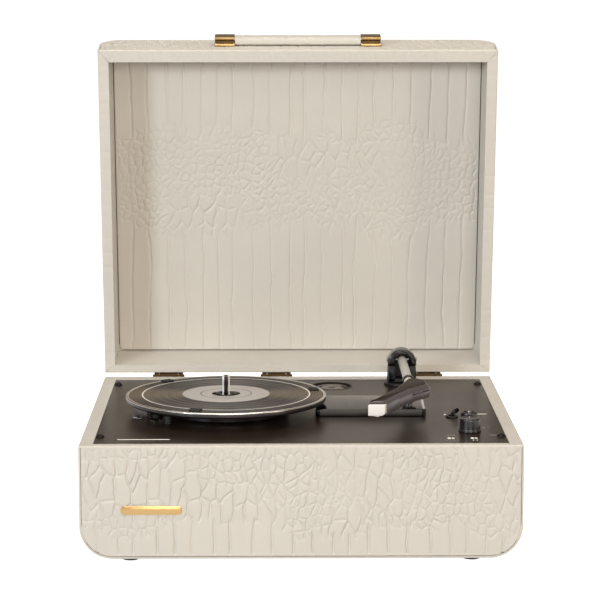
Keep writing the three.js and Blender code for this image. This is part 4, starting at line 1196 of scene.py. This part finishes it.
# ---------------------------------------------------------------- pieces beside the platter
ISLAND_TOP = 7
block_cap = joined(pill(-157.5, -144, 133, 152, DECK_TOP, 9.6, 1.8),
                   pill(-159.5, -148, 121.6, 136, DECK_TOP, 0.9, 3.5))
bevel(make("speed_block_cap", block_cap, SHELL, "case", "speed_block"), 0.5)
boss = turned([(0, DECK_TOP), (3.8, DECK_TOP), (3.6, 1.4), (2.6, 2.1), (0, 2.3)], 0.5, (-155.5, 127), 36)
cut(make("speed_block_screw", boss, STEEL, "case"), block(-158.2, -152.8, 126.6, 127.4, 1.5, 3))
make("stop_post_cap", turned([
    (0, DECK_TOP), (5, DECK_TOP), (5, 1.2), (4.2, 1.8), (4.2, 7.2), (3.4, 8), (1.4, 8), (0, 7.6),
], 0.5, (-124, 100), 48), BLACK, "case", "stop_post")
island_lo, island_hi = node_span("arm_island")
island = pill(island_lo[0], island_hi[0], island_lo[1], island_hi[1], DECK_TOP, ISLAND_TOP, 4.5)
bevel(make("island_cover", island, GLOSS_BLACK, "case", "arm_island"), 1.0, 4)
edge = island_hi[0]
post = ring_rounded([(edge - 3.2, 6), (edge - 0.6, 6), (edge - 3.8, 19), (edge - 6.2, 19)], 0.6)
post = aimed(prism(post, island_lo[1] + 2, island_lo[1] + 5), "front")
bevel(make("island_post", post, ARM_GREY, "case"), 0.4)

# ---------------------------------------------------------------- tonearm turret
ARM_X, ARM_Y, ARM_Z = 105.6, 296, 25.6
PIVOT = (ARM_X, ARM_Y, 0)
REST_Y = 169
SEAM_Z = 20.6
LEG_X, LEG_Y, LEG_Z = 13.9, 8.6, 3.5


def arch(half, top, low, steps=40):
    """Upright arch outline in X-Z, from its right foot over to its left foot."""
    curve = [(half * math.cos(a), top - half + half * math.sin(a)) for a in np.linspace(0, math.pi, steps)]
    return [(half, low), *curve, (-half, low)]


def arch_slab(outer, inner, y0, y1):
    """An arch with an arched opening, as thick as y0 to y1."""
    n = len(outer)
    verts = np.array([(x, y, z) for y in (y0, y1) for path in (outer, inner) for x, z in path], float)
    faces = [(a * n + i, a * n + i + 1, b * n + i + 1, b * n + i)
             for i in range(n - 1) for a, b in ((0, 1), (3, 2), (0, 2), (1, 3))]
    faces += [(i, n + i, 3 * n + i, 2 * n + i) for i in (0, n - 1)]
    return verts + PIVOT, faces


def at_pivot(shape):
    return shape[0] + PIVOT, shape[1]


make("arm_foot", turned([
    (2.7, -20), (6, -20), (6, DECK_TOP), (18, DECK_TOP), (18, 1.6), (16.6, 3.0), (12, 3.2), (11.4, 2.7),
    (2.7, 2.7), (2.7, -20),
], 0.5, (ARM_X, ARM_Y), 96), BLACK, "case", "arm_base")
hood = arch_slab(arch(14.5, 37, SEAM_Z), arch(7.2, 31.8, SEAM_Z), -9.2, 9.2)
bevel(make("arm_yoke_hood", hood, GLOSS_BLACK, "arm_turret", "arm_yoke"), 1.1, 4)
legs = [block(s * LEG_X, s * 6.5, -LEG_Y, LEG_Y, LEG_Z, SEAM_Z - 0.3) for s in (-1, 1)]
legs.append(block(-LEG_X, LEG_X, -LEG_Y, LEG_Y, LEG_Z, 7))
bevel(make("arm_yoke_legs", at_pivot(joined(*legs)), BLACK, "arm_turret"), 0.7)
make("arm_yoke_back", aimed(prism(arch(13.4, 35.6, 6.6), 7.2, 8.5), "front", PIVOT), BLACK, "arm_turret")
pin = turned([
    (0, -15.3), (2.0, -15.3), (2.3, -14.6), (1.6, -14.4), (1.6, 14.4), (2.3, 14.6), (2.0, 15.3), (0, 15.3),
], 0.2, segments=32)
make("arm_pivot_pin", aimed(pin, "X", (ARM_X, ARM_Y, ARM_Z)), STEEL, "arm_turret")


# ---------------------------------------------------------------- tonearm tube, headshell and cartridge
TUBE_R = 4.4
BORE_R = TUBE_R + 0.05
HEAD_OUTLINE = [
    (60.3, 33), (77.5, 33), (90.5, 63), (104.5, 93), (114.5, 105.5), (122.5, 118), (121.5, 140), (114, 150),
    (102, 149.5), (98.5, 139), (90, 108), (73, 66),
]
HEAD_LOW, HEAD_HIGH = 21.2, 33.5
CART_LOW, CART_HIGH = 20.9, HEAD_HIGH - 2.3


def on_arm(name, finish, node, radius, profile):
    """A turned piece round the tonearm's tube, from [radius, distance back] pairs."""
    shape = aimed(turned(profile, radius), "Y", (ARM_X, 0, ARM_Z))
    make(name, shape, finish, "arm_wand", node)


def inset(outline, distance):
    """An outline moved inwards by a distance, corner by corner."""
    points = np.array(outline, float)
    way = np.roll(points, -1, 0) - points
    way = way / np.linalg.norm(way, axis=1)[:, None]
    after = np.stack([-way[:, 1], way[:, 0]], 1)
    both = after + np.roll(after, 1, 0)
    share = distance / np.maximum(1e-6, (both * after).sum(1))
    return [tuple(p) for p in points + both * share[:, None]]


def headshell():
    """A hollow angular shell, open at its front end, with a top plate painted dark as painted shade, a cheek
    and a finger lift.
    """
    rim = ring_rounded(HEAD_OUTLINE, 3.2, 4)
    layers = ((2.0, HEAD_HIGH - 2.2), (1.7, HEAD_LOW + 0.2), (1.2, HEAD_LOW), (0.3, HEAD_LOW),
              (0, HEAD_LOW + 0.5), (0.05, HEAD_HIGH - 4.2), (0.5, HEAD_HIGH - 3.1), (2.7, HEAD_HIGH - 0.35),
              (3.3, HEAD_HIGH))
    shell = loft([(inset(rim, distance), z) for distance, z in layers])
    body = make("headshell_body", shell, SHELL, "arm_wand", "headshell", sharp=28)
    cut(body, block(50, 100, 20, 58.0, HEAD_LOW - 1, HEAD_HIGH - 2.4), "FAST")
    cut(body, prism([(105, 91), (131, 116), (122, 122), (102, 100)], 27.4, 28.6), "FAST")
    layers = ((3.4, HEAD_HIGH - 0.4), (3.4, HEAD_HIGH + 0.05), (3.7, HEAD_HIGH + 0.2))
    plate = loft([(inset(rim, distance), z) for distance, z in layers])
    # the top plate carries the painted shade
    make("headshell_top", plate, SHELL_TOP_SHADE, "arm_wand", sharp=28)
    cheek = prism([(77.2, 33.4), (78.4, 33.2), (91.2, 62.8), (90.0, 63.4)], HEAD_LOW, HEAD_HIGH - 2.6)
    bevel(make("headshell_cheek", cheek, SHELL, "arm_wand"), 0.3, 2)
    lift = prism(ring_rounded([(114, 119), (124, 118), (123.5, 134), (113.5, 134)], 1.2), 27.5, 28.4)
    bevel(make("finger_lift", lift, SHELL, "arm_wand"), 0.25, 2)


def cartridge():
    """A white body with one corner cut off, its dark inner part and the stylus below."""
    inner = prism([(62.7, 34.3), (75.4, 34.3), (85.2, 58), (71.2, 58)], CART_LOW + 0.3, CART_HIGH)
    bevel(make("cartridge_inner", inner, BLACK, "arm_wand"), 0.4, 2)
    body = prism([(60.6, 29), (76.0, 29), (78.0, 34.5), (62.6, 34.5)], CART_LOW, CART_HIGH)
    body = make("cartridge_body", body, WHITE_PLASTIC, "arm_wand", "cartridge")
    verts, faces = block(-3, 3, -60, 60, -3, 3)
    turn = Matrix.Rotation(math.radians(-20), 3, "Z") @ Matrix.Rotation(math.radians(42), 3, "Y")
    cut(body, (verts @ np.array(turn).T + (77.6, 31, CART_LOW - 1.2), faces))
    bevel(body, 0.7, 4)
    carrier = prism(ring_rounded([(66.4, 29.8), (71.6, 29.8), (77.2, 45), (72, 45)], 0.8), 20.5, 22)
    cantilever = prism([(68.6, 30.4), (69.8, 30.4), (71.2, 35), (70.0, 35)], 19.9, 20.8)
    tip = lathe([(0, 19.75), (0.35, 20.5), (0, 20.9)], (69.4, 31.2), 12)
    make("stylus_carrier", joined(carrier, cantilever, tip), CREAM_PLASTIC, "arm_wand", "stylus")


on_arm("arm_tube_grey", ARM_GREY, "arm_tube", 0.6, [
    (0, 147), (3.9, 147), (TUBE_R, 148), (TUBE_R, 300.8), (3.8, 301.7), (2.2, 302), (0, 302),
])
on_arm("arm_collar_ring", GLOSS_BLACK, "arm_collar", 0.3, [
    (BORE_R, 174), (5.6, 174), (6.0, 174.6), (6.0, 178.4), (5.6, 179), (BORE_R, 179), (BORE_R, 174),
])
on_arm("arm_ferrule_sleeve", CREAM_PLASTIC, "arm_ferrule", 0.25, [
    (BORE_R, 152.5), (5.1, 152.5), (5.3, 153.2), (5.3, 157.5), (4.95, 158), (4.95, 159), (5.3, 159.5),
    (5.3, 163.4), (5.0, 164), (BORE_R, 164), (BORE_R, 152.5),
])
headshell()
cartridge()

# ---------------------------------------------------------------- tonearm rest
SADDLE_Z = ARM_Z - TUBE_R - GAP
CRADLE = [(-6.4, 0.2), (-5.0, -2.6), (3.6, -3), (7.6, -1), (7.6, 8.4), (5.8, 8.4), (5.6, 1.0), (4.2, -0.1),
          (-4.6, -0.1)]
rest_post = [(0, ISLAND_TOP), (5.2, ISLAND_TOP), (4.4, 8.2), (3.4, 9), (3.2, SADDLE_Z - 2), (0, SADDLE_Z - 2)]
make("rest_post", turned(rest_post, 0.5, (ARM_X, REST_Y), 48), STEEL, "case")
cradle = aimed(prism(ring_rounded(CRADLE, 0.7), -3.4, 3.4), "front", (ARM_X, REST_Y, SADDLE_Z))
bevel(make("rest_cradle", cradle, BLACK, "case", "arm_rest"), 0.35)


# ---------------------------------------------------------------- knobs, lever, adapter
def knob(name, node, body, x, y, r, top, dish):
    """A knob with a skirt, a dished crown and a white pointer in a slot. dish is the crown's depth."""
    z = DECK_TOP + 0.35
    outline = [
        (0, top - dish), (r - 3.4, top - dish), (r - 2.7, top - dish * 0.4), (r - 2.0, top), (r - 1.1, top),
        (r - 0.35, top - 0.8), (r - 0.2, top - 1.8), (r - 0.05, z + 3.0), (r + 0.1, z + 1.9),
        (r + 0.7, z + 1.4), (r + 0.7, z + 0.2), (r + 0.5, z), (0, z),
    ]
    cap = make(name, turned(outline, 0.45, (x, y), 96), KNOB_BLACK, body, node)
    cut(cap, block(x - 0.35, x + 0.35, y + r - 4.5, y + r + 2, top - 1.2, top + 1))
    shaft = lathe([(0, -8), (3, -8), (3, z + 0.5), (0, z + 0.5)], (x, y), 32)
    make(f"{name}_shaft", shaft, STEEL, body)
    line = block(x - 0.3, x + 0.3, y + r - 4.3, y + r - 1.2, top - 1.25, top - 0.5)
    make(f"{name}_pointer", line, PRINT, body)


def lever(x, y):
    """A small tilting lever in an oval collar."""
    pad = ring_rounded([(-1.6, 2.3), (1.6, 2.3), (5.2, 3.8), (7.4, 6.2), (4.4, 9.1), (1.0, 6)], 1.1, 4)
    stem = block(x - 1.2, x + 1.2, y - 1.2, y + 1.2, -8, 2.9)
    blade = aimed(prism(pad, -1.8, 1.8), "front", (x, y, 0))
    barrel = aimed(lathe([(0, -1.6), (2.6, -1.6), (2.6, 1.6), (0, 1.6)], segments=32), "X", (x, y, -8))
    bevel(make("lever_toggle", joined(stem, blade, barrel), GLOSS_BLACK, "lever_body", "lever"), 0.4)
    outline = [(4.6, DECK_TOP), (8.2, DECK_TOP), (8.0, 0.6), (7.0, 1.1), (4.6, 1.1), (4.6, DECK_TOP)]
    verts, faces = turned(outline, 0.3)
    make("lever_collar", (verts * (0.72, 1, 1) + (x, y, 0), faces), BLACK, "case")


def adapter():
    """A 45 rpm adapter with two finger hollows, in a ring on the deck."""
    x, y = middle("adapter_45")[:2]
    low, top = node_span("adapter_45")[0][2], node_span("adapter_45")[1][2]
    disc = [(3.8, low), (19.05, low), (19.05, top - 2), (17.2, top - 1), (9.6, top), (8.8, top),
            (7.8, top - 1), (3.8, top - 1), (3.8, low)]
    piece = make("adapter_disc", turned(disc, 0.5, (x, y), 128), ADAPTER_GREY, "adapter", "adapter_45",
                 origin=(x, y, 0))
    for sign in (-1, 1):
        cut(piece, lathe([(0, -12), (8.6, -12), (8.6, 4), (0, 4)], (x + sign * 17.4, y)))
    bevel(piece, 0.3, 2)
    z0, z1 = DECK_TOP, DECK_TOP + 0.35
    ring = turned([(19.7, z0), (21.4, z0), (21.2, z1), (19.7, z1), (19.7, z0)], 0.1, (x, y), 128, 2)
    make("adapter_ring", ring, BLACK, "case")


knob("volume_cap", "volume_knob", "volume", 156, 62, 9.6, 12.5, 0.6)
knob("selector_cap", "selector_knob", "selector", 158, 95, 8.0, 11.5, 1.2)
lever(144.5, 130)
adapter()

# ---------------------------------------------------------------- hinges
KNUCKLE_R, PIN_R, END_W, LEAF_T, LEAF_H = 2.6, 1.1, 5.0, 1.2, 22
LEAF_Y = HINGE_Y - KNUCKLE_R


def hinge(side):
    """A base leaf with pin and end knuckles, and a lid leaf with the middle knuckle."""
    lo, hi = node_span(f"hinge_base_{side}")
    x0, x1 = lo[0] + 1.4, hi[0] - 1.4

    def knuckle(a, b, bore=PIN_R + 0.1):
        outline = [(bore, a), (KNUCKLE_R, a), (KNUCKLE_R, b), (bore, b), (bore, a)]
        return aimed(turned(outline, 0.25, segments=40, steps=2), "X", (0, HINGE_Y, HINGE_Z))

    def leaf(z0, z1):
        return aimed(pill(x0, x1, z0, z1, 0, LEAF_T, 2, 4), "front", (0, LEAF_Y, 0))

    def screws(z):
        head = turned([(0, 0.9), (2.3, 0.9), (2.2, 1.5), (1.2, 2.0), (0, 2.1)], 0.3, segments=28)
        return joined(*(aimed(head, "Y", (x, LEAF_Y, z)) for x in (x0 + 6, (x0 + x1) / 2, x1 - 6)))

    pin = turned([
        (0, x0 - 1.4), (1.2, x0 - 1.4), (1.6, x0 - 0.6), (PIN_R, x0), (PIN_R, x1), (1.6, x1 + 0.6),
        (1.2, x1 + 1.4), (0, x1 + 1.4),
    ], 0.3, segments=28)
    ends = ((x0, x0 + END_W), (x1 - END_W, x1))
    fixed = [leaf(-LEAF_H, HINGE_Z - KNUCKLE_R - 0.8), aimed(pin, "X", (0, HINGE_Y, HINGE_Z))]
    fixed += [block(a, b, LEAF_Y, LEAF_Y + LEAF_T, -4.5, HINGE_Z) for a, b in ends]
    fixed += [knuckle(a, b) for a, b in ends]
    make(f"hinge_{side}_fixed", joined(*fixed), BRASS_AGED_AND_SHADE, "case", f"hinge_base_{side}")
    make(f"hinge_{side}_screws_low", screws(-13), BRASS_AGED_AND_SHADE, "case")
    a, b = x0 + END_W + GAP, x1 - END_W - GAP
    moving = joined(leaf(HINGE_Z + KNUCKLE_R + 0.8, LEAF_H), knuckle(a, b),
                    block(a, b, LEAF_Y, LEAF_Y + LEAF_T, HINGE_Z, 5))
    make(f"hinge_{side}_moving", moving, BRASS_AGED_AND_SHADE, "lid", f"hinge_lid_{side}")
    make(f"hinge_{side}_screws_high", screws(13), BRASS_AGED_AND_SHADE, "lid")


for side in ("left", "middle", "right"):
    hinge(side)

# ---------------------------------------------------------------- handle
HANDLE_HALF, BRACKET_W, HANDLE_Z, PROUD = 83.5, 20, 28, 9.2
STRAP_HALF = HANDLE_HALF - BRACKET_W - GAP
STRAP_TURNS = 44
SEAM_OFF = 6.6
BRACKET_BANDS = (
    ("top", BRASS, 0.45, 0, [(9.2, -6.5), (9.6, -8.6), (8.6, -PROUD)]),
    # painted shade: the waist band is the handle's brass painted dark
    ("waist", BRASS_AGED_AND_SHADE, 0.2, 0.5, [(8.2, -3.0), (7.6, -5.0), (8.4, -6.6)]),
    ("flange", BRASS, 0.35, 0, [(11, -0.2), (11, -1.8), (8.8, -3.4)]),
)


def bracket(side, x0):
    """One end of the handle: a flange, a waist painted dark as painted shade, and a top, each with one
    outline mirrored.
    """
    for label, finish, edge, short, half in BRACKET_BANDS:
        outline = [(-z, y) for z, y in half] + half[::-1]
        verts = [(x, y, HANDLE_Z + z) for x in (x0 + short, x0 + BRACKET_W - short) for z, y in outline]
        shape = np.array(verts, float), grid(2, len(outline), closed=True) + caps(2, len(outline))
        node = f"handle_bracket_{side}" if label == "flange" else None
        bevel(make(f"handle_bracket_{side}_{label}", shape, finish, "lid", node), edge, 3, 30)


def strap_shape():
    """A padded strap with a squarish section, a little fuller in the middle of its length."""
    along = levels(-STRAP_HALF, STRAP_HALF, 1.5, (0.3,))
    turn = 2 * math.pi * np.arange(STRAP_TURNS) / STRAP_TURNS
    c, s = np.cos(turn), np.sin(turn)
    tall = np.copysign(np.abs(s) ** 0.55, s)
    y = -4.75 - np.where(tall > 0, 4.1, 4.2) * tall
    wide = np.copysign(np.abs(c) ** 0.5, c)
    rings = [xyz(x, y, HANDLE_Z + (8.1 + 0.35 * (1 - (x / STRAP_HALF) ** 2)) * wide) for x in along]
    faces = grid(len(along), STRAP_TURNS, closed=True) + caps(len(along), STRAP_TURNS)
    return np.concatenate(rings), faces


def strap_relief(points, normals):
    x, y, z = points.T
    height, crease = hide(x, z * 1.3, np.zeros_like(x), 301, cell=(9, 12))
    fade = smooth((STRAP_HALF - np.abs(x)) / 4)
    seam = crease_shape(np.abs(z - HANDLE_Z) - SEAM_OFF, 0.45) * (y < -7)
    return height * 0.35 * fade - 0.35 * seam, crease * 0.4 * fade + 0.5 * seam, smooth(-y - 8) * 0.3


bracket("left", -HANDLE_HALF)
bracket("right", HANDLE_HALF - BRACKET_W)
strap = leather("handle_strap_leather", strap_shape(), "lid", "handle_strap", strap_relief)
stitch = lathe([(0, 0), (0.28, 0.2), (0.28, 1.9), (0, 2.1)], segments=8)
stitches = [aimed(stitch, "X", (x, -8.35, HANDLE_Z + sign * (SEAM_OFF - 0.05)))
            for x in np.arange(-STRAP_HALF + 3, STRAP_HALF - 3, 3.0) for sign in (-1, 1)]
make("handle_stitching", joined(*stitches), CREAM_PLASTIC, "lid", slot="leatherette")

# ---------------------------------------------------------------- finishes of the CAD nodes that still show
SHOWING = {
    "deck_plate": DECK, "bearing_housing": STEEL, "motor_can": STEEL, "motor_pulley": SCREW,
    "drive_belt": RUBBER, "control_board": CIRCUIT, "circuit_board": CIRCUIT,
    "speaker_left": GRILLE_CLOTH, "speaker_right": GRILLE_CLOTH,
}
for node, finish in SHOWING.items():
    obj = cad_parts[node]
    if not obj.material_slots:
        obj.data.materials.append(finish)
    for slot in obj.material_slots:
        slot.material = finish

# ---------------------------------------------------------------- studio
scene = bpy.context.scene
FLOOR_HALF = 30.0


def studio_floor():
    """A pale floor that glows a little and doesn't light the object from below."""
    mesh = bpy.data.meshes.new("floor")
    corners = oblong(-FLOOR_HALF, FLOOR_HALF, -FLOOR_HALF, FLOOR_HALF)
    mesh.from_pydata([(x, y, 0) for x, y in corners], [], [(0, 1, 2, 3)])
    floor = bpy.data.objects.new("floor", mesh)
    scene.collection.objects.link(floor)
    g = Graph("floor_white")
    mesh.materials.append(g.shader(
        Base_Color=g.mix(g.noise(6, 3), (0.6, 0.6, 0.6), (0.63, 0.63, 0.63)), Roughness=0.9,
        Emission_Color=(1, 1, 1), Emission_Strength=0.92, Specular_IOR_Level=0.1,
    ))
    floor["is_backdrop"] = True
    floor.visible_diffuse = False


def studio_world():
    """A dim warm sky that lights the object, and a white backdrop that only the camera sees."""
    world = bpy.data.worlds.new("studio")
    scene.world = world
    world.use_nodes = True
    nodes, link = world.node_tree.nodes, world.node_tree.links.new
    sky, paper = nodes["Background"], nodes.new("ShaderNodeBackground")
    for background, color, strength in ((sky, (1, 0.9, 0.77, 1), 0.28), (paper, (1, 1, 1, 1), 1.0)):
        background.inputs["Color"].default_value = color
        background.inputs["Strength"].default_value = strength
    choice = nodes.new("ShaderNodeMixShader")
    link(nodes.new("ShaderNodeLightPath").outputs["Is Camera Ray"], choice.inputs[0])
    link(sky.outputs[0], choice.inputs[1])
    link(paper.outputs[0], choice.inputs[2])
    link(choice.outputs[0], nodes["World Output"].inputs["Surface"])


def softbox(name, place, aim_height, size, power, color=(1, 1, 1)):
    """A rectangular light aimed at a height above the middle of the floor."""
    data = bpy.data.lights.new(name, "AREA")
    data.shape = "RECTANGLE"
    data.size, data.size_y = size
    data.energy = power
    data.color = color
    lamp = bpy.data.objects.new(name, data)
    lamp.location = place
    lamp.rotation_euler = (Vector((0, 0, aim_height)) - Vector(place)).to_track_quat("-Z", "Y").to_euler()
    scene.collection.objects.link(lamp)


studio_floor()
studio_world()
softbox("key", (-2.3, -2.6, 1.0), 0.22, (0.65, 0.65), 57, (0.85, 0.94, 1.0))
softbox("front", (0.4, -4.4, 1.0), 0.2, (2.4, 1.2), 84, (1, 0.92, 0.81))
softbox("left_strip", (-2.4, -1.4, 0.8), 0.2, (0.45, 1.5), 6)
softbox("right_strip", (2.4, -1.4, 0.8), 0.2, (0.45, 1.5), 22, (1, 0.9, 0.76))
softbox("top", (0, -0.3, 2.6), 0.1, (2.0, 1.6), 40, (1, 0.94, 0.86))

camera_data = bpy.data.cameras.new("camera")
camera_data.lens = 140.5
camera_data.sensor_width = 36
camera_data.clip_start, camera_data.clip_end = 0.05, 200
camera = bpy.data.objects.new("camera", camera_data)
camera.location = (-0.024, -2.251, 0.5544)
camera.rotation_euler = (math.radians(90 - 8.68), 0, math.radians(-0.633))
scene.collection.objects.link(camera)
scene.camera = camera
scene.view_settings.view_transform = "Standard"
scene.view_settings.look = "None"

low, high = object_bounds()
